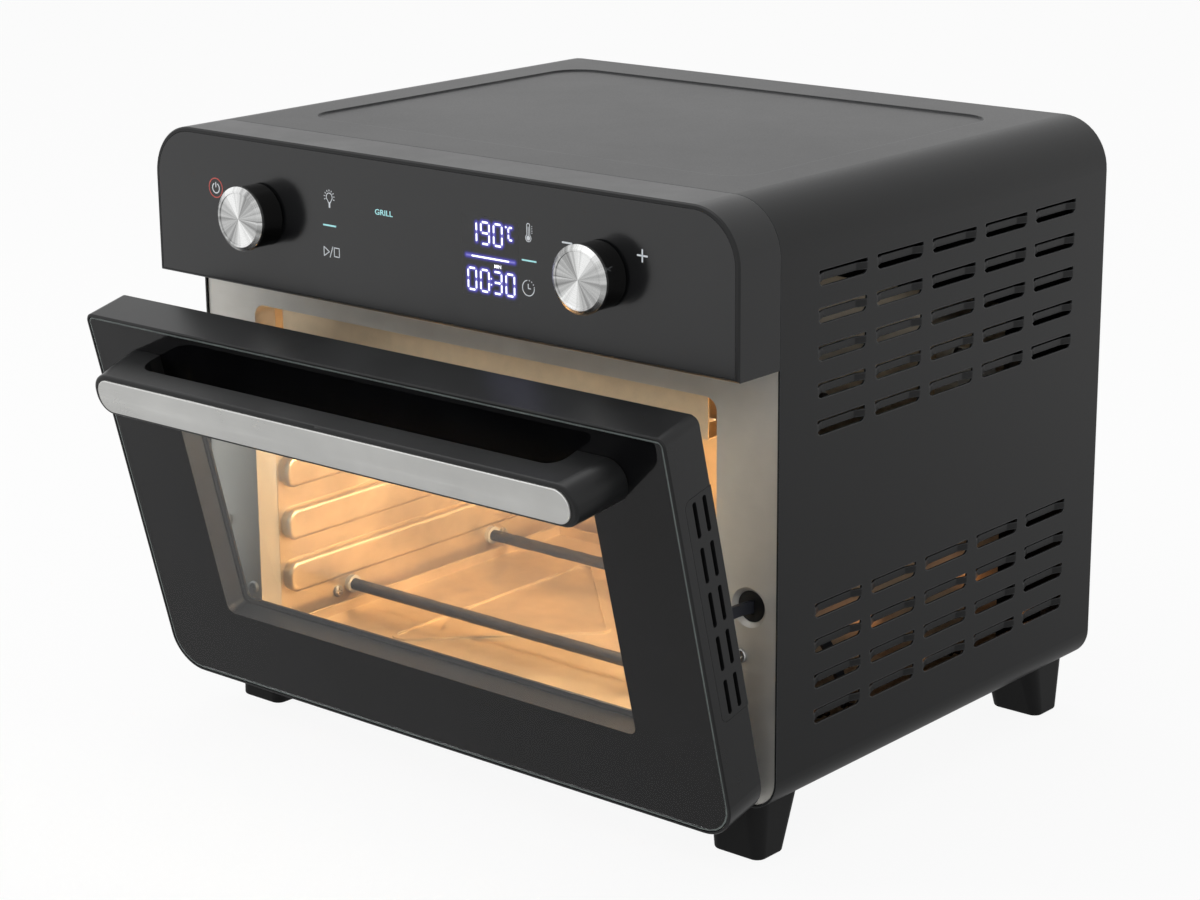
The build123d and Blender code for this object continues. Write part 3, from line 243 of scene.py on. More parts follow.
def ranged(tree, value, low, high, new_low=0.0, new_high=1.0):
    """Moves a value from one range to another, held within it."""
    return put(tree, "MapRange", {0: value, 1: low, 2: high, 3: new_low, 4: new_high}).outputs[0]


def blend_colours(tree, factor, first, second):
    """Mixes two colours."""
    colours = {0: factor}
    for socket, colour in ((6, first), (7, second)):
        colours[socket] = colour if isinstance(colour, bpy.types.NodeSocket) else (*colour, 1)
    return put(tree, "Mix", colours, data_type="RGBA").outputs[2]


def new_group(name, inputs, outputs):
    """Starts a node group with named sockets and gives its tree, inputs and outputs."""
    tree = bpy.data.node_groups.new(name, "ShaderNodeTree")
    for title, default in inputs.items():
        kind = "NodeSocketVector" if default is None or hasattr(default, "__len__") else "NodeSocketFloat"
        socket = tree.interface.new_socket(title, in_out="INPUT", socket_type=kind)
        if default is not None:
            socket.default_value = default
    for title, kind in outputs.items():
        tree.interface.new_socket(title, in_out="OUTPUT", socket_type="NodeSocket" + kind)
    start = tree.nodes.new("NodeGroupInput").outputs
    end = tree.nodes.new("NodeGroupOutput").inputs
    return tree, start, end


def soft_edges_group(samples):
    """Edges that catch the light as if rounded, and a mask of them."""
    outputs = {"Normal": "Vector", "Edge": "Float"}
    tree, start, end = new_group("soft_edges", {"Radius": 0.4 * MM}, outputs)
    bevel = put(tree, "Bevel", {"Radius": start["Radius"]}, samples=samples)
    flat = put(tree, "NewGeometry").outputs["Normal"]
    match = put(tree, "VectorMath", {0: bevel.outputs[0], 1: flat}, operation="DOT_PRODUCT")
    tree.links.new(bevel.outputs[0], end["Normal"])
    tree.links.new(ranged(tree, match.outputs["Value"], low=0.99, high=0.8), end["Edge"])
    return tree


def grain_group():
    """A fine grain of one size, drawn out along an axis by Stretch."""
    inputs = {"Place": None, "Stretch": (1.0, 1.0, 1.0), "Size": 0.5 * MM}
    tree, start, end = new_group("fine_grain", inputs, {"Height": "Float", "Fleck": "Float"})
    place = put(tree, "VectorMath", {0: start["Place"], 1: start["Stretch"]}, operation="MULTIPLY")
    scale = reckon(tree, "DIVIDE", 1.0, start["Size"])
    slow_scale, slow_share = 0.23, 0.4
    fine = put(tree, "TexNoise", {"Vector": place.outputs[0], "Scale": scale, "Detail": 3.0})
    slow = put(tree, "TexNoise", {
        "Vector": place.outputs[0], "Scale": reckon(tree, "MULTIPLY", scale, slow_scale), "Detail": 2.0})
    height = reckon(tree, "ADD", fine.outputs[0], reckon(tree, "MULTIPLY", slow.outputs[0], slow_share))
    tree.links.new(height, end["Height"])
    tree.links.new(ranged(tree, fine.outputs[0], low=0.4, high=0.68), end["Fleck"])
    return tree


def marks_group():
    """Slow patches where a surface was handled, pressed or wiped."""
    tree, start, end = new_group("handling_marks", {"Place": None, "Size": 60 * MM}, {"Patch": "Float"})
    scale = reckon(tree, "DIVIDE", 1.0, start["Size"])
    close_scale, broad_share, close_share = 5.0, 0.75, 0.25
    broad = put(tree, "TexNoise", {
        "Vector": start["Place"], "Scale": scale, "Detail": 3.0, "Roughness": 0.55, "Distortion": 0.3})
    close = put(tree, "TexNoise", {
        "Vector": start["Place"], "Scale": reckon(tree, "MULTIPLY", scale, close_scale), "Detail": 2.0})
    both = reckon(tree, "ADD", reckon(tree, "MULTIPLY", broad.outputs[0], broad_share),
                  reckon(tree, "MULTIPLY", close.outputs[0], close_share))
    tree.links.new(ranged(tree, both, low=0.33, high=0.67), end["Patch"])
    return tree


def fan_of(tree, angle, turn, count):
    """Painted light and dark rays, so many of each round a circle: a painted sheen."""
    return reckon(tree, "COSINE", reckon(tree, "MULTIPLY", reckon(tree, "ADD", angle, turn), count))


def spun_group():
    """Turned rings about the Y axis, and a painted sheen of soft light and dark rays round it."""
    tree, start, end = new_group("spun_rings", {"Place": None, "Pitch": 0.2 * MM},
                                 {"Height": "Float", "Fan": "Float"})
    parts = put(tree, "SeparateXYZ", {0: start["Place"]}).outputs
    across = put(tree, "CombineXYZ", {0: parts[0], 2: parts[2]}).outputs[0]
    radius = put(tree, "VectorMath", {0: across}, operation="LENGTH").outputs["Value"]
    rings = put(tree, "TexNoise", {
        "W": radius, "Scale": reckon(tree, "DIVIDE", 1.0, start["Pitch"]), "Detail": 2.0},
        noise_dimensions="1D")
    angle = reckon(tree, "ARCTAN2", parts[2], parts[0])
    two = fan_of(tree, angle, turn=-1.15, count=2.0)
    four = fan_of(tree, angle, turn=0.35, count=4.0)
    rays = put(tree, "TexNoise", {"W": angle, "Scale": 4.0, "Detail": 3.0}, noise_dimensions="1D")
    two_share, four_share = 0.25, 0.17
    even = reckon(tree, "ADD", reckon(tree, "MULTIPLY", two, two_share),
                  reckon(tree, "MULTIPLY", four, four_share))
    mixed = reckon(tree, "ADD", even, rays.outputs[0])
    tree.links.new(rings.outputs[0], end["Height"])
    tree.links.new(ranged(tree, mixed, low=0.15, high=0.85), end["Fan"])
    return tree


def spangle_group():
    """The crystals of a zinc coat."""
    tree, start, end = new_group("zinc_spangle", {"Place": None, "Size": 5 * MM},
                                 {"Tone": "Float", "Height": "Float"})
    scale = reckon(tree, "DIVIDE", 1.0, start["Size"])
    cells = put(tree, "TexVoronoi", {"Vector": start["Place"], "Scale": scale})
    tone = put(tree, "SeparateColor", {0: cells.outputs["Color"]}).outputs[0]
    tree.links.new(tone, end["Tone"])
    tree.links.new(cells.outputs["Distance"], end["Height"])
    return tree


class Finish:
    """One material while it is made: its tree, its shader and its coordinates."""

    groups = {}
    # How much of the lighter edge colour is painted on: part wear, part painted highlight
    edge_wear_and_highlight_share = 0.6
    fleck_roughness = 0.5

    def __init__(self, name, colour, roughness, metallic=0.0, **sockets):
        self.material = bpy.data.materials.new(name)
        self.material.use_nodes = True
        self.tree = self.material.node_tree
        self.shader = self.tree.nodes["Principled BSDF"]
        self.place = put(self.tree, "TexCoord").outputs["Object"]
        self.colour = colour
        self.roughness = roughness
        self.shader.inputs["Base Color"].default_value = (*colour, 1)
        self.shader.inputs["Roughness"].default_value = roughness
        self.shader.inputs["Metallic"].default_value = metallic
        for title, value in sockets.items():
            self.shader.inputs[title.replace("_", " ")].default_value = value

    def link(self, value, socket):
        """Feeds a value to one of the shader's sockets."""
        self.tree.links.new(value, self.shader.inputs[socket])

    def effect(self, group, **inputs):
        """Places one of the shared effects."""
        return put(self.tree, "Group", inputs, node_tree=self.groups[group]).outputs

    def bump(self, height, distance, normal=None, strength=1.0):
        """Turns a height into a normal."""
        inputs = {"Height": height, "Distance": distance, "Strength": strength}
        if normal is not None:
            inputs["Normal"] = normal
        return put(self.tree, "Bump", inputs).outputs[0]

    def dress(self, grain=0.5 * MM, depth=0.02 * MM, stretch=(1, 1, 1), marks=0.04, patch=60 * MM,
              tone=0.10, edge=None, edge_wear_and_highlight_tone=1.5, fleck=0.06):
        """Gives the finish its grain, its soft edges, its edges painted lighter (part wear, part painted
        highlight) and its slow changes of tone and gloss.
        """
        settings = bpy.context.scene.oven_paint
        edges = self.effect("soft_edges", Radius=settings.edge_radius if edge is None else edge)
        grains = self.effect("fine_grain", Place=self.place, Stretch=stretch, Size=grain)
        patches = self.effect("handling_marks", Place=self.place, Size=patch)["Patch"]
        darker = tuple(c * (1 - tone) for c in self.colour)
        lighter = tuple(min(c * (1 + tone), 1.0) for c in self.colour)
        # Edges are painted lighter by their tone: part wear, part a painted highlight where a rounded
        # edge would catch the light
        edge_wear_and_highlight_colour = tuple(min(c * edge_wear_and_highlight_tone, 1.0) for c in self.colour)
        colour = blend_colours(self.tree, patches, darker, lighter)
        flecks = reckon(self.tree, "MULTIPLY", grains["Fleck"], fleck)
        colour = blend_colours(self.tree, flecks, colour, lighter)
        edge_wear_and_highlight = reckon(self.tree, "MULTIPLY", edges["Edge"], self.edge_wear_and_highlight_share)
        self.link(blend_colours(self.tree, edge_wear_and_highlight, colour, edge_wear_and_highlight_colour), "Base Color")
        rough = ranged(self.tree, patches, 0.0, 1.0, self.roughness - marks, self.roughness + marks)
        duller = reckon(self.tree, "MULTIPLY", flecks, self.fleck_roughness)
        self.link(reckon(self.tree, "ADD", rough, duller), "Roughness")
        self.link(self.bump(grains["Height"], depth, edges["Normal"]), "Normal")
        return self


# The oven's finishes

def powder_coat(settings):
    """Black powder coat with its faint orange peel."""
    finish = Finish("powder_coat_black", tuple(settings.shell_colour), settings.shell_roughness,
                    Specular_IOR_Level=0.21)
    # Edges are painted sixteen times lighter: a painted highlight along the louvre lips and other edges
    return finish.dress(grain=0.9 * MM, depth=0.012 * MM, marks=0.015, patch=120 * MM, tone=0.10,
                        edge=0.9 * MM, edge_wear_and_highlight_tone=16.0)


def moulded_black(name, colour=(0.009, 0.0093, 0.0098), roughness=0.40, gloss=0.30):
    """Black moulding with a spark-eroded grain."""
    finish = Finish(name, colour, roughness, Specular_IOR_Level=gloss)
    return finish.dress(grain=0.45 * MM, depth=0.014 * MM, marks=0.03, tone=0.12, edge_wear_and_highlight_tone=2.4)


def gloss_black():
    """Polished black moulding of the knob barrels."""
    finish = Finish("gloss_black", (0.003, 0.003, 0.003), roughness=0.10,
                    Coat_Weight=0.5, Coat_Roughness=0.03)
    return finish.dress(grain=1.2 * MM, depth=0.002 * MM, marks=0.03, edge_wear_and_highlight_tone=3.0, fleck=0.02)


def panel_glass():
    """Black control glass with a faint etched surface."""
    finish = Finish("panel_glass", (0.008, 0.0083, 0.009), roughness=0.20,
                    Coat_Weight=0.1, Coat_Roughness=0.08)
    return finish.dress(grain=0.3 * MM, depth=0.001 * MM, marks=0.05, patch=90 * MM, tone=0.08,
                        edge_wear_and_highlight_tone=3.5)


def clear_glass(name, tint, roughness):
    """A pane that lets lamp light through."""
    finish = Finish(name, tint, roughness, Transmission_Weight=1.0, IOR=1.4)
    tree = finish.tree
    patches = finish.effect("handling_marks", Place=finish.place, Size=110 * MM)["Patch"]
    clean, wiped = roughness * 0.5, roughness * 1.6
    finish.link(ranged(tree, patches, 0.0, 1.0, clean, wiped), "Roughness")
    finish.link(finish.bump(patches, distance=0.02 * MM), "Normal")
    lit = put(tree, "BsdfTransparent", {"Color": (*tint, 1)}).outputs[0]
    shadow = put(tree, "LightPath").outputs["Is Shadow Ray"]
    both = put(tree, "MixShader", {0: shadow, 1: finish.shader.outputs[0], 2: lit})
    tree.links.new(both.outputs[0], tree.nodes["Material Output"].inputs["Surface"])
    return finish


def black_print():
    """Ceramic print fired on the back of a pane."""
    finish = Finish("ceramic_print_black", (0.0035, 0.0035, 0.0042), roughness=0.9,
                    Specular_IOR_Level=0.0)
    patches = finish.effect("handling_marks", Place=finish.place, Size=40 * MM)["Patch"]
    finish.link(blend_colours(finish.tree, patches, (0.0025, 0.0025, 0.003), (0.005, 0.005, 0.006)),
                "Base Color")
    return finish


def ground_glass():
    """The pale ground edge of a pane."""
    finish = Finish("ground_glass_edge", (0.20, 0.235, 0.225), roughness=0.45)
    return finish.dress(grain=0.3 * MM, depth=0.01 * MM, patch=30 * MM, tone=0.25, edge=0.05 * MM)


def satin_stainless(settings):
    """Brushed stainless sheet of the front frame."""
    finish = Finish("satin_stainless", tuple(settings.frame_colour), roughness=0.42, metallic=0.65,
                    Anisotropic=0.3)
    return finish.dress(grain=0.35 * MM, depth=0.006 * MM, stretch=(0.02, 1, 1), marks=0.05, tone=0.10,
                        edge_wear_and_highlight_tone=1.7, fleck=0.35)


def liner_steel(settings):
    """Steel of the cavity, its colour painted golden: a painted warm light, as from the oven lamp."""
    finish = Finish("cavity_steel", tuple(settings.liner_colour), roughness=0.36, metallic=0.75)
    return finish.dress(grain=0.8 * MM, depth=0.010 * MM, stretch=(1, 0.12, 1), marks=0.08,
                        patch=45 * MM, tone=0.16, edge_wear_and_highlight_tone=1.5, fleck=0.2)


def zinc_sheet():
    """Galvanised sheet with its crystals."""
    finish = Finish("galvanised_sheet", (0.46, 0.47, 0.48), roughness=0.42, metallic=0.85)
    finish.dress(grain=0.5 * MM, depth=0.004 * MM, tone=0.12)
    spangle = finish.effect("zinc_spangle", Place=finish.place, Size=6 * MM)
    colour = blend_colours(finish.tree, spangle["Tone"], (0.36, 0.37, 0.39), (0.56, 0.57, 0.58))
    finish.link(colour, "Base Color")
    return finish


def door_enamel():
    """Dark grey enamel of the door's inner frame and its stay."""
    finish = Finish("door_pan_enamel", (0.026, 0.028, 0.036), roughness=0.42, Specular_IOR_Level=0.16)
    return finish.dress(grain=0.7 * MM, depth=0.008 * MM, marks=0.06, tone=0.18, edge_wear_and_highlight_tone=2.4)


def heater_sheath():
    """Heater tube, dulled and browned by heat."""
    finish = Finish("heater_sheath", (0.045, 0.036, 0.030), roughness=0.42, metallic=0.6)
    return finish.dress(grain=0.6 * MM, depth=0.02 * MM, stretch=(0.08, 1, 1), patch=25 * MM, tone=0.4)


def ceramic():
    """Glazed off-white ceramic."""
    finish = Finish("glazed_ceramic", (0.72, 0.69, 0.62), roughness=0.32,
                    Coat_Weight=0.3, Coat_Roughness=0.1)
    return finish.dress(grain=0.5 * MM, depth=0.01 * MM, tone=0.06, edge_wear_and_highlight_tone=1.1)


def lamp_glass():
    """Frosted cover of the oven lamp, lit from behind."""
    finish = Finish("lamp_glass", (0.95, 0.80, 0.55), roughness=0.4, Emission_Strength=1.0)
    finish.dress(grain=1.5 * MM, depth=0.05 * MM, tone=0.08, edge_wear_and_highlight_tone=1.1)
    patches = finish.effect("handling_marks", Place=finish.place, Size=12 * MM)["Patch"]
    amber, straw = (1.0, 0.66, 0.30), (1.0, 0.80, 0.50)
    finish.link(blend_colours(finish.tree, patches, amber, straw), "Emission Color")
    return finish


def spun_aluminium(settings):
    """Turned aluminium of the knob caps; both caps share it, mirrored to one centre."""
    finish = Finish("spun_aluminium", tuple(settings.cap_colour), roughness=0.24, metallic=1.0,
                    Anisotropic=0.75)
    tree = finish.tree
    parts = put(tree, "SeparateXYZ", {0: finish.place}).outputs
    side = reckon(tree, "SUBTRACT", reckon(tree, "ABSOLUTE", parts[0]), KNOB_X)
    level = reckon(tree, "SUBTRACT", parts[2], KNOB_Z)
    centred = put(tree, "CombineXYZ", {0: side, 1: parts[1], 2: level})
    spun = finish.effect("spun_rings", Place=centred.outputs[0], Pitch=0.22 * MM)
    edges = finish.effect("soft_edges", Radius=0.25 * MM)
    # The base colour is painted with light and dark rays round each cap: a painted reflection, the
    # bow-tie sheen of turned metal
    painted_shade_share, painted_sheen_share = 0.36, 1.18
    dark = tuple(c * painted_shade_share for c in settings.cap_colour)
    light = tuple(min(c * painted_sheen_share, 1.0) for c in settings.cap_colour)
    finish.link(blend_colours(tree, spun["Fan"], dark, light), "Base Color")
    rough = ranged(tree, spun["Height"], low=0.3, high=0.7, new_low=0.20, new_high=0.30)
    finish.link(rough, "Roughness")
    finish.link(finish.bump(spun["Height"], distance=0.006 * MM, normal=edges["Normal"]), "Normal")
    finish.link(put(tree, "Tangent", direction_type="RADIAL", axis="Y").outputs[0], "Tangent")
    return finish


def brushed_trim():
    """Long-grained stainless strip on the handle."""
    finish = Finish("brushed_trim", (0.72, 0.72, 0.70), roughness=0.30, metallic=1.0, Anisotropic=0.5)
    return finish.dress(grain=0.3 * MM, depth=0.006 * MM, stretch=(0.012, 1, 1), marks=0.04, tone=0.08,
                        patch=80 * MM, edge_wear_and_highlight_tone=1.4, fleck=0.4)


def plain_steel():
    """Zinc-plated steel of screws, pins and shafts."""
    finish = Finish("plated_steel", (0.52, 0.52, 0.51), roughness=0.30, metallic=1.0)
    return finish.dress(grain=0.25 * MM, depth=0.006 * MM, tone=0.12, patch=15 * MM)


def circuit_board():
    """Green solder mask."""
    finish = Finish("solder_mask", (0.010, 0.085, 0.032), roughness=0.35, Coat_Weight=0.3)
    return finish.dress(grain=0.4 * MM, depth=0.02 * MM, patch=10 * MM, tone=0.3)


def nylon():
    """Natural nylon."""
    finish = Finish("natural_nylon", (0.62, 0.60, 0.54), roughness=0.42,
                    Subsurface_Weight=0.1, Subsurface_Scale=0.002)
    return finish.dress(grain=0.5 * MM, depth=0.01 * MM, tone=0.06, edge_wear_and_highlight_tone=1.1)


def motor_steel():
    """Electrical steel of motor and encoder cans."""
    finish = Finish("motor_steel", (0.40, 0.40, 0.41), roughness=0.38, metallic=0.9)
    return finish.dress(grain=0.4 * MM, depth=0.01 * MM, stretch=(1, 1, 0.1), tone=0.15)


def pressed_aluminium():
    """Pressed aluminium of the fans."""
    finish = Finish("pressed_aluminium", (0.66, 0.66, 0.65), roughness=0.36, metallic=0.95)
    return finish.dress(grain=0.5 * MM, depth=0.008 * MM, tone=0.10)


def printed(name, colour, glow):
    """A printed symbol with a little light behind it."""
    finish = Finish(name, colour, roughness=0.45, Emission_Strength=glow)
    finish.dress(grain=0.2 * MM, depth=0.004 * MM, patch=4 * MM, tone=0.08, edge=0.02 * MM, edge_wear_and_highlight_tone=1.0)
    patches = finish.effect("handling_marks", Place=finish.place, Size=3 * MM)["Patch"]
    dim_share = 0.9
    dim = tuple(c * dim_share for c in colour)
    finish.link(blend_colours(finish.tree, patches, dim, colour), "Emission Color")
    return finish


def glow_film(colour):
    """The glow round the lit bars, as deep as the film's own glow attribute says."""
    finish = Finish("display_glow", (0.0, 0.0, 0.0), roughness=1.0,
                    Emission_Strength=1.0, Specular_IOR_Level=0.0)
    tree = finish.tree
    glow = put(tree, "Attribute", attribute_name="glow").outputs["Fac"]
    pale = tuple(c * 0.5 + 0.5 for c in colour)
    paleness = ranged(tree, glow, low=0.75, high=1.0, new_low=0.0, new_high=0.5)
    finish.link(blend_colours(tree, paleness, colour, pale), "Emission Color")
    thickest = 0.55
    finish.link(reckon(tree, "MULTIPLY", glow, thickest, clamp=True), "Alpha")
    return finish


def slot_finishes(settings):
    """The finish of each of the record's material slots."""
    return {
        "shell_paint": powder_coat(settings),
        "housing_moulding": moulded_black("housing_moulding", roughness=0.34),
        "control_glass": panel_glass(),
        "door_glass": clear_glass("door_pane", (0.93, 0.94, 0.94), roughness=0.012),
        "inner_glass": clear_glass("inner_pane", (0.90, 0.92, 0.91), roughness=0.01),
        "door_moulding": moulded_black("door_moulding", roughness=0.30),
        "stainless": satin_stainless(settings),
        "galvanised": zinc_sheet(),
        "cavity_steel": liner_steel(settings),
        "door_pan": door_enamel(),
        "heater_sheath": heater_sheath(),
        "ceramic": ceramic(),
        "lamp_glass": lamp_glass(),
        "knob_metal": spun_aluminium(settings),
        "knob_black": gloss_black(),
        "handle_metal": brushed_trim(),
        "handle_moulding": moulded_black("handle_moulding", roughness=0.32),
        "vent_moulding": moulded_black("vent_moulding", roughness=0.42),
        "foot_moulding": moulded_black("foot_moulding", (0.006, 0.006, 0.0063), roughness=0.5, gloss=0.2),
        "plain_steel": plain_steel(),
        "board": circuit_board(),
        "display": moulded_black("display_lens", (0.008, 0.008, 0.01), roughness=0.2),
        "nylon": nylon(),
        "motor_steel": motor_steel(),
        "fan_steel": pressed_aluminium(),
        "black_moulding": moulded_black("black_moulding"),
    }


# Pieces whose finish is another slot's
OTHER_FINISH = {"stay_guide": "black_moulding"}


class OVEN_OT_finishes(bpy.types.Operator):
    """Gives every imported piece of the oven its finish"""

    bl_idname = "oven.finishes"
    bl_label = "Finish the Oven's Pieces"

    def execute(self, context):
        Finish.groups = {
            "soft_edges": soft_edges_group(context.scene.oven_studio.samples),
            "fine_grain": grain_group(),
            "handling_marks": marks_group(),
            "spun_rings": spun_group(),
            "zinc_spangle": spangle_group(),
        }
        finishes = slot_finishes(context.scene.oven_paint)
        for name, piece in frame["nodes"].items():
            for slot in piece.material_slots:
                slot.material = finishes[OTHER_FINISH.get(name, slot.material.name)].material
        return {"FINISHED"}


# Drawing on the panel, in millimetres: x to the right and z up, from between the two knobs

BAR_ROUNDING = 0.42


def upright(middle):
    """Where a flat shape goes to stand in the drawing's plane, round a point of it."""
    return Matrix.Translation((middle[0], 0, middle[1])) @ Matrix.Rotation(math.pi / 2, 4, "X")


def bar(mesh, start, end, width, thick):
    """Adds a flat bar with rounded ends between two points."""
    run = Vector(end) - Vector(start)
    middle = (Vector(end) + Vector(start)) / 2
    turn = Matrix.Rotation(-math.atan2(run.y, run.x), 4, "Y")
    place = Matrix.Translation((middle.x, 0, middle.y)) @ turn
    size = Matrix.Diagonal((run.length + width, thick, width, 1))
    verts = set(bmesh.ops.create_cube(mesh, size=1, matrix=place @ size)["verts"])
    corners = [edge for edge in mesh.edges if set(edge.verts) <= verts
               and abs(edge.verts[0].co.y - edge.verts[1].co.y) > thick / 2]
    bmesh.ops.bevel(mesh, geom=corners, offset=width * BAR_ROUNDING, segments=3, profile=0.5,
                    affect="EDGES", material=-1)


def arc(mesh, middle, radius, width, thick, first=0.0, sweep=360.0, steps=32):
    """Adds a flat band along a circle, from an angle above +x and on through a sweep."""
    spin = Matrix.Rotation(-math.radians(first), 4, "Y")
    place = Matrix.Translation((middle[0], 0, middle[1])) @ spin @ Matrix.Translation((radius, 0, 0))
    made = bmesh.ops.create_grid(mesh, x_segments=1, y_segments=1, size=0.5,
                                 matrix=place @ Matrix.Diagonal((width, thick, 1, 1)))["verts"]
    face = made[0].link_faces[0]
    whole = abs(sweep) >= 360
    section = list(face.edges) if whole else [face]
    if whole:
        bmesh.ops.delete(mesh, geom=[face], context="FACES_ONLY")
    bmesh.ops.spin(mesh, geom=section, cent=(middle[0], 0, middle[1]), axis=(0, 1, 0),
                   angle=-math.radians(sweep), steps=steps, use_merge=whole)


def disc(mesh, middle, radius, thick, sides=16):
    """Adds a flat round dot."""
    bmesh.ops.create_cone(mesh, cap_ends=True, segments=sides, radius1=radius, radius2=radius,
                          depth=thick, matrix=upright(middle))


def lines(mesh, points, width, thick, closed=False):
    """Adds bars from point to point."""
    ends = points[1:] + points[:1] if closed else points[1:]
    for start, end in zip(points, ends):
        bar(mesh, start, end, width, thick)


def set_on_panel(name, mesh, lift, material):
    """Makes a piece of a drawing, set on the control glass, and lets it ride on the cabinet."""
    bmesh.ops.recalc_face_normals(mesh, faces=mesh.faces)
    bmesh.ops.scale(mesh, vec=(MM, MM, MM), verts=mesh.verts)
    bmesh.ops.translate(mesh, vec=(0, PANEL_Y - lift, KNOB_Z), verts=mesh.verts)
    make_piece(name, mesh, material, "root")


def make_piece(name, mesh, material, body):
    """Turns a bmesh into a finished piece that rides on a body."""
    data = bpy.data.meshes.new(name)
    mesh.to_mesh(data)
    mesh.free()
    piece = bpy.data.objects.new(name, data)
    data.materials.append(material)
    bpy.context.scene.collection.objects.link(piece)
    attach(piece, body)


def power_symbol(mesh, stroke, thick):
    """A ring, open at the top, and its upright stroke."""
    middle = (-152.3, 9.9)
    arc(mesh, middle, 2.65, stroke, thick, first=118, sweep=304, steps=26)
    bar(mesh, (middle[0], 10.6), (middle[0], 12.9), stroke, thick)


def bulb_symbol(mesh, stroke, thick):
    """A light bulb with its rays."""
    middle = (-66.2, 15.2)
    fine = stroke * 0.7
    arc(mesh, middle, 2.15, fine, thick, first=-52, sweep=284, steps=22)
    for side in (-1, 1):
        bar(mesh, (middle[0] + side * 1.35, 13.5), (middle[0] + side * 0.55, 12.2), fine, thick)
    bar(mesh, (middle[0], 12.0), (middle[0], 10.1), stroke * 1.8, thick)
    for step in range(9):
        turn = math.radians(-20 + 27.5 * step)
        ray = Vector((math.cos(turn), math.sin(turn)))
        bar(mesh, Vector(middle) + ray * 3.2, Vector(middle) + ray * 3.75, fine, thick)


def start_stop_symbol(mesh, stroke, thick):
    """A triangle, a slash and a rounded square."""
    fine = stroke * 0.75
    triangle = [(-71.3, -11.2), (-71.3, -16.0), (-67.4, -13.5)]
    square = [(-63.8, -11.0), (-60.1, -11.0), (-60.1, -15.6), (-63.8, -15.6)]
    lines(mesh, triangle, fine, thick, closed=True)
    bar(mesh, (-64.8, -10.7), (-67.0, -16.3), fine, thick)
    lines(mesh, square, fine, thick, closed=True)


def thermometer_symbol(mesh, stroke, thick):
    """A thermometer with its marks."""
    x, fine = 70.8, stroke * 0.6
    disc(mesh, (x, 11.4), 1.15, thick)
    arc(mesh, (x, 11.4), 1.75, fine, thick, first=122, sweep=296, steps=22)
    arc(mesh, (x, 17.7), 0.95, fine, thick, first=0, sweep=180, steps=10)
    for side in (-1, 1):
        bar(mesh, (x + side * 0.95, 17.7), (x + side * 0.95, 12.9), fine, thick)
    bar(mesh, (x, 16.9), (x, 12.2), fine, thick)
    for step in range(5):
        level = 17.4 - 0.85 * step
        bar(mesh, (73.0, level), (73.3, level), fine * 0.8, thick)


def clock_symbol(mesh, stroke, thick):
    """A clock whose last quarter is dotted."""
    middle, radius = Vector((70.4, -13.4)), 3.85
    arc(mesh, middle, radius, stroke * 0.75, thick, first=100, sweep=262, steps=26)
    for degrees in (80, 56, 32, 10):
        turn = math.radians(degrees)
        disc(mesh, middle + Vector((math.cos(turn), math.sin(turn))) * radius, 0.32, thick, 10)
    lines(mesh, [(70.3, -11.5), (70.3, -13.6), (71.8, -13.6)], stroke * 0.8, thick)


def minus_and_plus(mesh, stroke, thick):
    """The minus and the plus on either side of the right knob."""
    bold = stroke * 1.4
    bar(mesh, (92.8, 12.3), (98.5, 12.3), bold, thick)
    bar(mesh, (139.5, 12.2), (145.3, 12.2), bold, thick)
    bar(mesh, (142.4, 9.4), (142.4, 15.0), bold, thick)


PLAIN_SYMBOLS = (
    power_symbol,
    bulb_symbol,
    start_stop_symbol,
    thermometer_symbol,
    clock_symbol,
    minus_and_plus,
)


class OVEN_OT_panel_symbols(bpy.types.Operator):
    """Prints the plain symbols, the power ring and the pale blue marks on the control glass"""

    bl_idname = "oven.panel_symbols"
    bl_label = "Print the Panel's Symbols"

    def execute(self, context):
        sizes = context.scene.oven_panel_print
        stroke, thick = sizes.stroke / MM, sizes.proud / MM
        lift = sizes.proud / 2
        white = printed("print_white", tuple(sizes.print_colour), glow=0.25).material
        mesh = bmesh.new()
        for symbol in PLAIN_SYMBOLS:
            symbol(mesh, stroke, thick)
        set_on_panel("panel_symbols", mesh, lift, white)

        mesh = bmesh.new()
        arc(mesh, (-152.4, 10.0), 5.15, stroke, thick, steps=48)
        ring = printed("print_red", tuple(sizes.ring_colour), glow=0.25).material
        set_on_panel("power_ring", mesh, lift, ring)

        accent = printed("print_blue", tuple(sizes.accent_colour), glow=0.55).material
        mesh = bmesh.new()
        bar(mesh, (-71.0, 0.35), (-62.2, 0.35), 0.85, thick)
        bar(mesh, (66.7, 0.22), (75.5, 0.22), 0.8, thick)
        set_on_panel("pale_blue_marks", mesh, lift, accent)
        set_word("mode_word", "GRILL", across=(-33.4, -20.9), up=(10.3, 13.2),
                 proud=sizes.proud, material=accent)
        return {"FINISHED"}


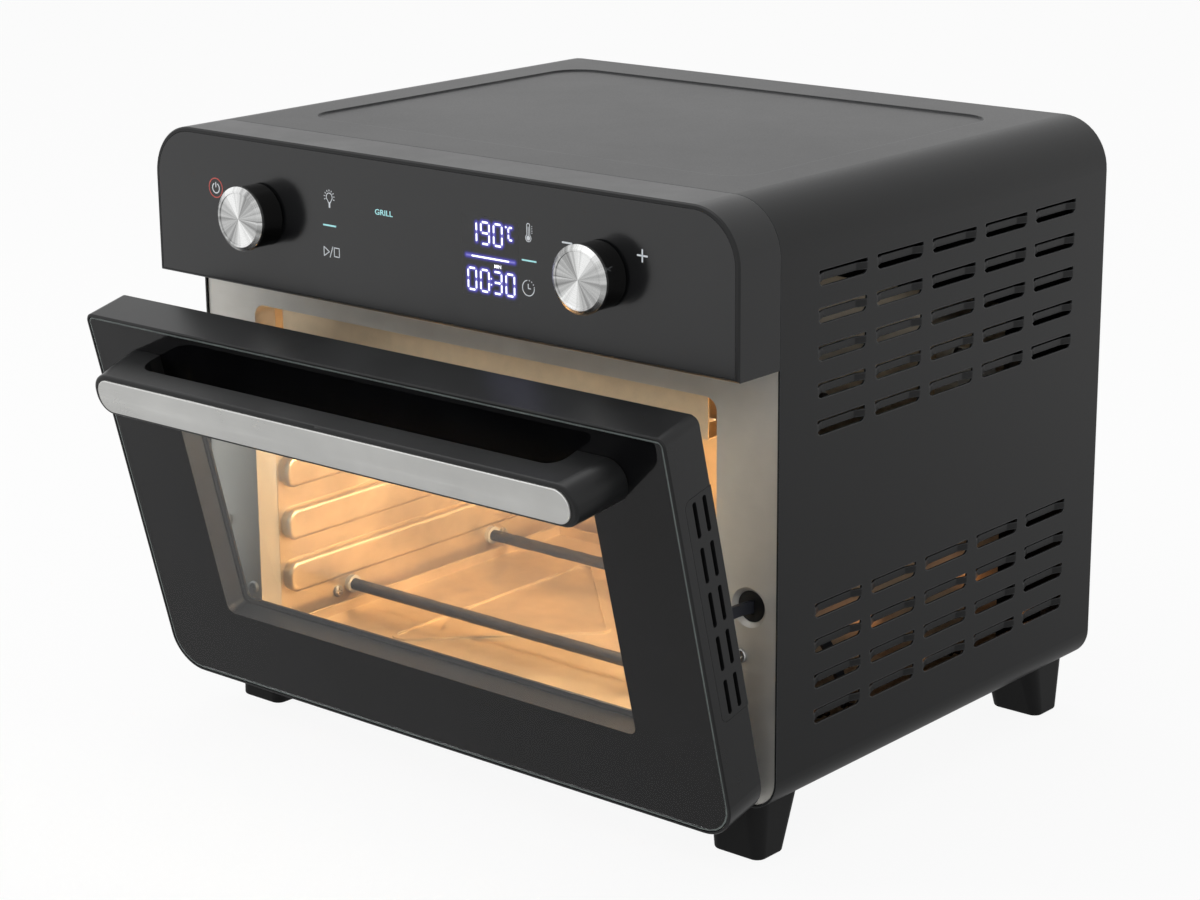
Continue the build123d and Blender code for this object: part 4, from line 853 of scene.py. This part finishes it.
def set_word(name, text, across, up, proud, material):
    """Sets a plain word on the panel, fitted between two places across and two up."""
    curve = bpy.data.curves.new(name, "FONT")
    curve.body = text
    curve.extrude = 0.5
    curve.resolution_u = 3
    curve.offset = 0.012
    written = bpy.data.objects.new(name, curve)
    bpy.context.scene.collection.objects.link(written)
    bpy.context.view_layer.update()
    solid = bpy.data.meshes.new_from_object(written.evaluated_get(bpy.context.evaluated_depsgraph_get()))
    bpy.data.objects.remove(written)
    bpy.data.curves.remove(curve)
    mesh = bmesh.new()
    mesh.from_mesh(solid)
    bpy.data.meshes.remove(solid)
    bmesh.ops.remove_doubles(mesh, verts=mesh.verts, dist=1e-5)
    for axis, (new_low, new_high) in enumerate((across, up, (-proud / MM / 2, proud / MM / 2))):
        low = min(vert.co[axis] for vert in mesh.verts)
        high = max(vert.co[axis] for vert in mesh.verts)
        for vert in mesh.verts:
            share = (vert.co[axis] - low) / (high - low)
            vert.co[axis] = new_low + share * (new_high - new_low)
    bmesh.ops.rotate(mesh, verts=mesh.verts, cent=(0, 0, 0), matrix=Matrix.Rotation(math.pi / 2, 3, "X"))
    set_on_panel(name, mesh, proud / 2, material)


# The bars that are lit in each digit
LIT_BARS = {"0": "abcdef", "1": "bc", "3": "abcdg", "9": "abcdfg", "c": "adef"}


def digit_bars(shape, middle, width, height, cut):
    """The lit bars of one seven-bar digit, each a pair of points."""
    x, z = middle
    left, right, top, low = x - width / 2, x + width / 2, z + height / 2, z - height / 2
    bars = {
        "a": ((left + cut, top), (right - cut, top)),
        "g": ((left + cut, z), (right - cut, z)),
        "d": ((left + cut, low), (right - cut, low)),
        "f": ((left, top - cut), (left, z + cut)),
        "b": ((right, top - cut), (right, z + cut)),
        "e": ((left, z - cut), (left, low + cut)),
        "c": ((right, z - cut), (right, low + cut)),
    }
    return [bars[letter] for letter in LIT_BARS[shape]]


def distance_to(point, start, end):
    """How far a point of the panel is from a bar's middle line."""
    run = end - start
    share = 0.0 if run.length == 0 else max(0.0, min(1.0, (point - start).dot(run) / run.length_squared))
    return (point - start - run * share).length


def display_strokes(sizes):
    """Every lit bar of the display, each with its two ends and its width."""
    width, height = sizes.digit_width / MM, sizes.digit_height / MM
    pitch, thick = sizes.digit_pitch / MM, sizes.digit_bar / MM
    cut = thick * 0.85
    strokes = []
    for row, level, first in (("190", 10.2, 33.9), ("0030", -13.7, 33.25)):
        for place, shape in enumerate(row):
            middle = (first + pitch * place, level)
            strokes += [(*ends, thick) for ends in digit_bars(shape, middle, width, height, cut)]
    strokes += [(*ends, thick * 0.9) for ends in digit_bars("c", (59.3, 11.9), 2.9, 6.2, thick * 0.75)]
    strokes.append(((56.2, 15.0), (56.2, 15.0), thick))
    strokes += [((46.05, z), (46.05, z), thick * 0.7) for z in (-12.1, -15.1)]
    strokes.append(((29.7, -2.05), (61.4, -2.05), thick * 0.85))
    return strokes


class OVEN_OT_display(bpy.types.Operator):
    """Lights the temperature, the time and the line between them, with their glow"""

    bl_idname = "oven.display"
    bl_label = "Light the Display"

    def execute(self, context):
        sizes = context.scene.oven_panel_print
        strokes = display_strokes(sizes)
        lit = printed("lit_bars", (0.90, 0.92, 1.0), glow=0.95).material
        mesh = bmesh.new()
        thick = sizes.proud / MM
        end_gap = 0.12
        for start, end, width in strokes:
            if start == end:
                disc(mesh, start, width / 2, thick)
            else:
                first, last = Vector(start), Vector(end)
                bar(mesh, first.lerp(last, end_gap), last.lerp(first, end_gap), width, thick)
        set_on_panel("display_bars", mesh, sizes.proud * 1.5, lit)
        set_word("minutes_word", "MIN", across=(48.2, 52.6), up=(-6.4, -4.6),
                 proud=sizes.proud, material=lit)
        self.add_glow(strokes, sizes)
        return {"FINISHED"}

    def add_glow(self, strokes, sizes):
        """A clear film over the display that holds how bright the glow is at each point."""
        reach = sizes.glow_reach / MM
        low, high = Vector((26.5, -22.5)), Vector((64.5, 18.5))
        cell = 0.45
        size, middle = high - low, (low + high) / 2
        mesh = bmesh.new()
        bmesh.ops.create_grid(
            mesh, x_segments=round(size.x / cell), y_segments=round(size.y / cell), size=0.5,
            matrix=upright(middle) @ Matrix.Diagonal((size.x, size.y, 1, 1)))
        layer = mesh.verts.layers.float.new("glow")
        ends = [(Vector(start), Vector(end)) for start, end, _ in strokes]
        for vert in mesh.verts:
            point = Vector((vert.co.x, vert.co.z))
            near = [distance_to(point, *pair) for pair in ends]
            total = sum(math.exp(-((away / reach) ** 2)) for away in near if away < 3 * reach)
            vert[layer] = 0.0 if vert.is_boundary else min(total, 1.0)
        film = glow_film(tuple(sizes.glow_colour)).material
        bmesh.ops.solidify(mesh, geom=mesh.faces[:], thickness=sizes.proud / MM / 3)
        set_on_panel("display_glow", mesh, sizes.proud * 0.5, film)


# The door's print

def rounded_loop(mesh, low, high, radii):
    """A closed loop of edges with rounded corners, in x and z; radii are for the foot and the head."""
    size, middle = Vector(high) - Vector(low), (Vector(low) + Vector(high)) / 2
    place = upright(middle) @ Matrix.Diagonal((size.x, size.y, 1, 1))
    verts = bmesh.ops.create_grid(mesh, x_segments=1, y_segments=1, size=0.5, matrix=place)["verts"]
    bmesh.ops.delete(mesh, geom=[verts[0].link_faces[0]], context="FACES_ONLY")
    before = [edge for edge in mesh.edges if not set(edge.verts) <= set(verts)]
    for radius, foot in zip(radii, (True, False)):
        ends = [v for v in verts if (v.co.z < middle.y) == foot]
        bmesh.ops.bevel(mesh, geom=ends, offset=radius, segments=6, profile=0.5,
                        affect="VERTICES", material=-1)
        verts = [v for v in verts if v.is_valid]
    return [edge for edge in mesh.edges if edge not in before]


class OVEN_OT_door_print(bpy.types.Operator):
    """Prints the black border, with its clear window, on the back of the door's outer pane"""

    bl_idname = "oven.door_print"
    bl_label = "Print the Door's Border"

    def execute(self, context):
        sizes = context.scene.oven_door_print
        half = (SHELL_HIGH.x - SHELL_LOW.x) / 2
        mesh = bmesh.new()
        outer = self.pane_loop(mesh, sizes.edge)
        inner = rounded_loop(mesh, (-half + sizes.side, BASE_Z + sizes.low),
                             (half - sizes.side, BASE_Z + sizes.high), (sizes.corner, sizes.corner))
        self.set_in_pane("door_border_print", mesh, outer + inner, sizes.plane, black_print().material)

        mesh = bmesh.new()
        edges = self.pane_loop(mesh, sizes.edge) + self.pane_loop(mesh, sizes.edge + sizes.ground_edge)
        self.set_in_pane("door_glass_edge", mesh, edges, sizes.plane + GROUND_EDGE_AHEAD,
                         ground_glass().material)
        return {"FINISHED"}

    def pane_loop(self, mesh, inset):
        """The pane's outline, so far inside the shell's sides and the door's foot and head."""
        half = (SHELL_HIGH.x - SHELL_LOW.x) / 2
        foot, head = BASE_Z + inset + DOOR_FOOT, GLASS_LOW.z - DOOR_HEAD - inset
        return rounded_loop(mesh, (-half + inset, foot), (half - inset, head),
                            (DOOR_FOOT_RADIUS - inset, max(DOOR_HEAD_RADIUS - inset, LEAST_RADIUS)))

    def set_in_pane(self, name, mesh, edges, plane, material):
        """Fills the band between two loops, gives it a thickness and sets it in the tilted pane."""
        bmesh.ops.bridge_loops(mesh, edges=edges)
        bmesh.ops.recalc_face_normals(mesh, faces=mesh.faces)
        bmesh.ops.solidify(mesh, geom=mesh.faces[:], thickness=PRINT_THICKNESS)
        bmesh.ops.recalc_face_normals(mesh, faces=mesh.faces)
        deepest = min(v.co.y for v in mesh.verts)
        bmesh.ops.translate(mesh, vec=(0, FRONT_Y - plane - deepest, 0), verts=mesh.verts)
        bmesh.ops.rotate(mesh, verts=mesh.verts, cent=HINGE, matrix=Matrix.Rotation(DOOR_TILT, 3, "X"))
        make_piece(name, mesh, material, "door")


# The studio

def soft_lamp(name, place, aim, size, power, mirrored=True):
    """A square soft lamp that looks at a point; gloss may show it or not."""
    lamp = bpy.data.lights.new(name, "AREA")
    lamp.shape = "SQUARE"
    lamp.size = size
    lamp.energy = power
    holder = bpy.data.objects.new(name, lamp)
    holder.location = place
    holder.rotation_euler = (Vector(aim) - Vector(place)).to_track_quat("-Z", "Y").to_euler()
    holder.visible_camera = False
    holder.visible_glossy = mirrored
    bpy.context.scene.collection.objects.link(holder)


def warm_point(name, place, power, radius, colour):
    """A small warm lamp inside the oven."""
    lamp = bpy.data.lights.new(name, "POINT")
    lamp.energy = power
    lamp.shadow_soft_size = radius
    lamp.color = colour
    holder = bpy.data.objects.new(name, lamp)
    holder.location = place
    holder.visible_camera = False
    holder.visible_transmission = False
    bpy.context.scene.collection.objects.link(holder)


class OVEN_OT_studio(bpy.types.Operator):
    """Sets up the pale floor, the white surroundings and the lamps"""

    bl_idname = "oven.studio"
    bl_label = "Set Up the Studio"

    def execute(self, context):
        settings = context.scene.oven_studio
        context.scene.view_settings.view_transform = "Standard"
        self.surroundings(settings)
        self.floor(settings)
        soft_lamp("top_lamp", power=settings.top_lamp, **TOP_LAMP)
        soft_lamp("front_lamp", power=settings.front_lamp, mirrored=False, **FRONT_LAMP)
        self.oven_lights(settings)
        return {"FINISHED"}

    def oven_lights(self, settings):
        """The lamp in the cavity, the light that its walls throw back, and the glow at the louvres."""
        cover_y, cover_z = (LAMP_LOW.y + LAMP_HIGH.y) / 2, (LAMP_LOW.z + LAMP_HIGH.z) / 2
        lamp_place = (LAMP_LOW.x - LAMP_GAP, cover_y, cover_z)
        warm_point("oven_lamp_light", lamp_place, settings.oven_lamp, LAMP_RADIUS, OVEN_LIGHT_COLOUR)
        fill_place = (0, FRONT_Y + FILL_BEHIND_FRONT, LAMP_LOW.z - FILL_BELOW_LAMP)
        warm_point("oven_fill_light", fill_place, settings.oven_fill, FILL_RADIUS, OVEN_LIGHT_COLOUR)
        for side in (-1, 1):
            for y in VENT_LIGHT_DEPTHS:
                place = (side * (SHELL_HIGH.x - VENT_LIGHT_INSET), y, BASE_Z + VENT_LIGHT_HEIGHT)
                warm_point("vent_light", place, settings.vent_glow, VENT_LIGHT_RADIUS, VENT_LIGHT_COLOUR)

    def surroundings(self, settings):
        """White all round, dimmer for the light that matt surfaces gather."""
        world = bpy.data.worlds.new("studio")
        bpy.context.scene.world = world
        world.use_nodes = True
        tree = world.node_tree
        seen = self.seen_directly(tree)
        strength = ranged(tree, seen, 0.0, 1.0, settings.world_light, 1.0)
        tree.links.new(strength, tree.nodes["Background"].inputs["Strength"])
        tree.nodes["Background"].inputs["Color"].default_value = (1, 1, 1, 1)

    def seen_directly(self, tree):
        """One for rays that show the surroundings: from the camera, a gloss or through glass."""
        path = put(tree, "LightPath").outputs
        seen = reckon(tree, "MAXIMUM", path["Is Camera Ray"], path["Is Glossy Ray"])
        return reckon(tree, "MAXIMUM", seen, path["Is Transmission Ray"])

    def floor(self, settings):
        """A round pale floor that keeps a soft shadow, with a painted shade that dims it near the oven in
        a gloss.
        """
        mesh = bmesh.new()
        bmesh.ops.create_circle(mesh, cap_ends=True, segments=96, radius=settings.floor_radius)
        data = bpy.data.meshes.new("floor")
        mesh.to_mesh(data)
        mesh.free()
        floor = bpy.data.objects.new("floor", data)
        bpy.context.scene.collection.objects.link(floor)
        finish = Finish("pale_floor", (0.82, 0.82, 0.82), 0.9, Specular_IOR_Level=0.1)
        tree = finish.tree
        grain = finish.effect("fine_grain", Place=finish.place, Stretch=(1, 1, 1), Size=2 * MM)["Height"]
        finish.link(finish.bump(grain, distance=0.01 * MM), "Normal")
        # In a gloss the floor's light is painted darker near the oven: a painted shade
        away = put(tree, "VectorMath", {0: finish.place}, operation="LENGTH").outputs["Value"]
        mirrored = ranged(tree, away, FLOOR_DIM_TO, FLOOR_WHITE_FROM, new_low=FLOOR_DIM)
        glossy = put(tree, "LightPath").outputs["Is Glossy Ray"]
        level = ranged(tree, glossy, 0.0, 1.0, 1.0, mirrored)
        glow = put(tree, "Emission", {"Color": (1, 1, 1, 1), "Strength": level}).outputs[0]
        share = reckon(tree, "MULTIPLY", self.seen_directly(tree), FLOOR_OWN_LIGHT)
        both = put(tree, "MixShader", {0: share, 1: finish.shader.outputs[0], 2: glow})
        tree.links.new(both.outputs[0], tree.nodes["Material Output"].inputs["Surface"])
        data.materials.append(finish.material)


class OVEN_OT_camera(bpy.types.Operator):
    """Puts the camera at the front right, a little above the oven"""

    bl_idname = "oven.camera"
    bl_label = "Place the Camera"

    def execute(self, context):
        turn, tip, roll = CAMERA_TURN, CAMERA_TIP, CAMERA_ROLL
        data = bpy.data.cameras.new("camera")
        data.lens = context.scene.oven_studio.lens
        data.sensor_width = SENSOR_WIDTH
        data.sensor_fit = "HORIZONTAL"
        data.clip_end = VIEW_DEPTH
        camera = bpy.data.objects.new("camera", data)
        ahead = Vector((-math.sin(turn) * math.cos(tip), math.cos(turn) * math.cos(tip), -math.sin(tip)))
        level = Vector((math.cos(turn), math.sin(turn), 0))
        upright = level.cross(ahead)
        right = level * math.cos(roll) + upright * math.sin(roll)
        up = upright * math.cos(roll) - level * math.sin(roll)
        place = Matrix((right, up, -ahead)).transposed().to_4x4()
        place.translation = (CAMERA_RIGHT, FRONT_Y - CAMERA_BEFORE, BASE_Z + CAMERA_ABOVE)
        camera.matrix_world = place
        context.scene.collection.objects.link(camera)
        context.scene.camera = camera
        return {"FINISHED"}


class OVEN_PT_panel(bpy.types.Panel):
    """Lists the oven's steps and sizes"""

    bl_idname = "OVEN_PT_panel"
    bl_label = "Countertop Oven"
    bl_space_type = "VIEW_3D"
    bl_region_type = "UI"
    bl_category = "Oven"

    def draw(self, context):
        for step in STEPS:
            self.layout.operator(step.bl_idname)
        for group in SETTINGS:
            box = self.layout.box()
            settings = getattr(context.scene, group)
            for name in settings.__annotations__:
                box.prop(settings, name)


STEPS = (
    OVEN_OT_camera,
    OVEN_OT_finishes,
    OVEN_OT_panel_symbols,
    OVEN_OT_display,
    OVEN_OT_door_print,
    OVEN_OT_studio,
)
SETTINGS = {
    "oven_paint": OvenPaint,
    "oven_panel_print": OvenPanelPrint,
    "oven_door_print": OvenDoorPrint,
    "oven_studio": OvenStudio,
}


def register():
    for cls in (*SETTINGS.values(), *STEPS, OVEN_PT_panel):
        bpy.utils.register_class(cls)
    for name, cls in SETTINGS.items():
        setattr(bpy.types.Scene, name, PointerProperty(type=cls))


def unregister():
    for name in SETTINGS:
        delattr(bpy.types.Scene, name)
    for cls in (OVEN_PT_panel, *reversed(STEPS), *SETTINGS.values()):
        bpy.utils.unregister_class(cls)


def main():
    """Runs every step in order."""
    register()
    bpy.ops.oven.camera()
    bpy.ops.oven.finishes()
    bpy.ops.oven.panel_symbols()
    bpy.ops.oven.display()
    bpy.ops.oven.door_print()
    bpy.ops.oven.studio()


if __name__ == "__main__":
    main()
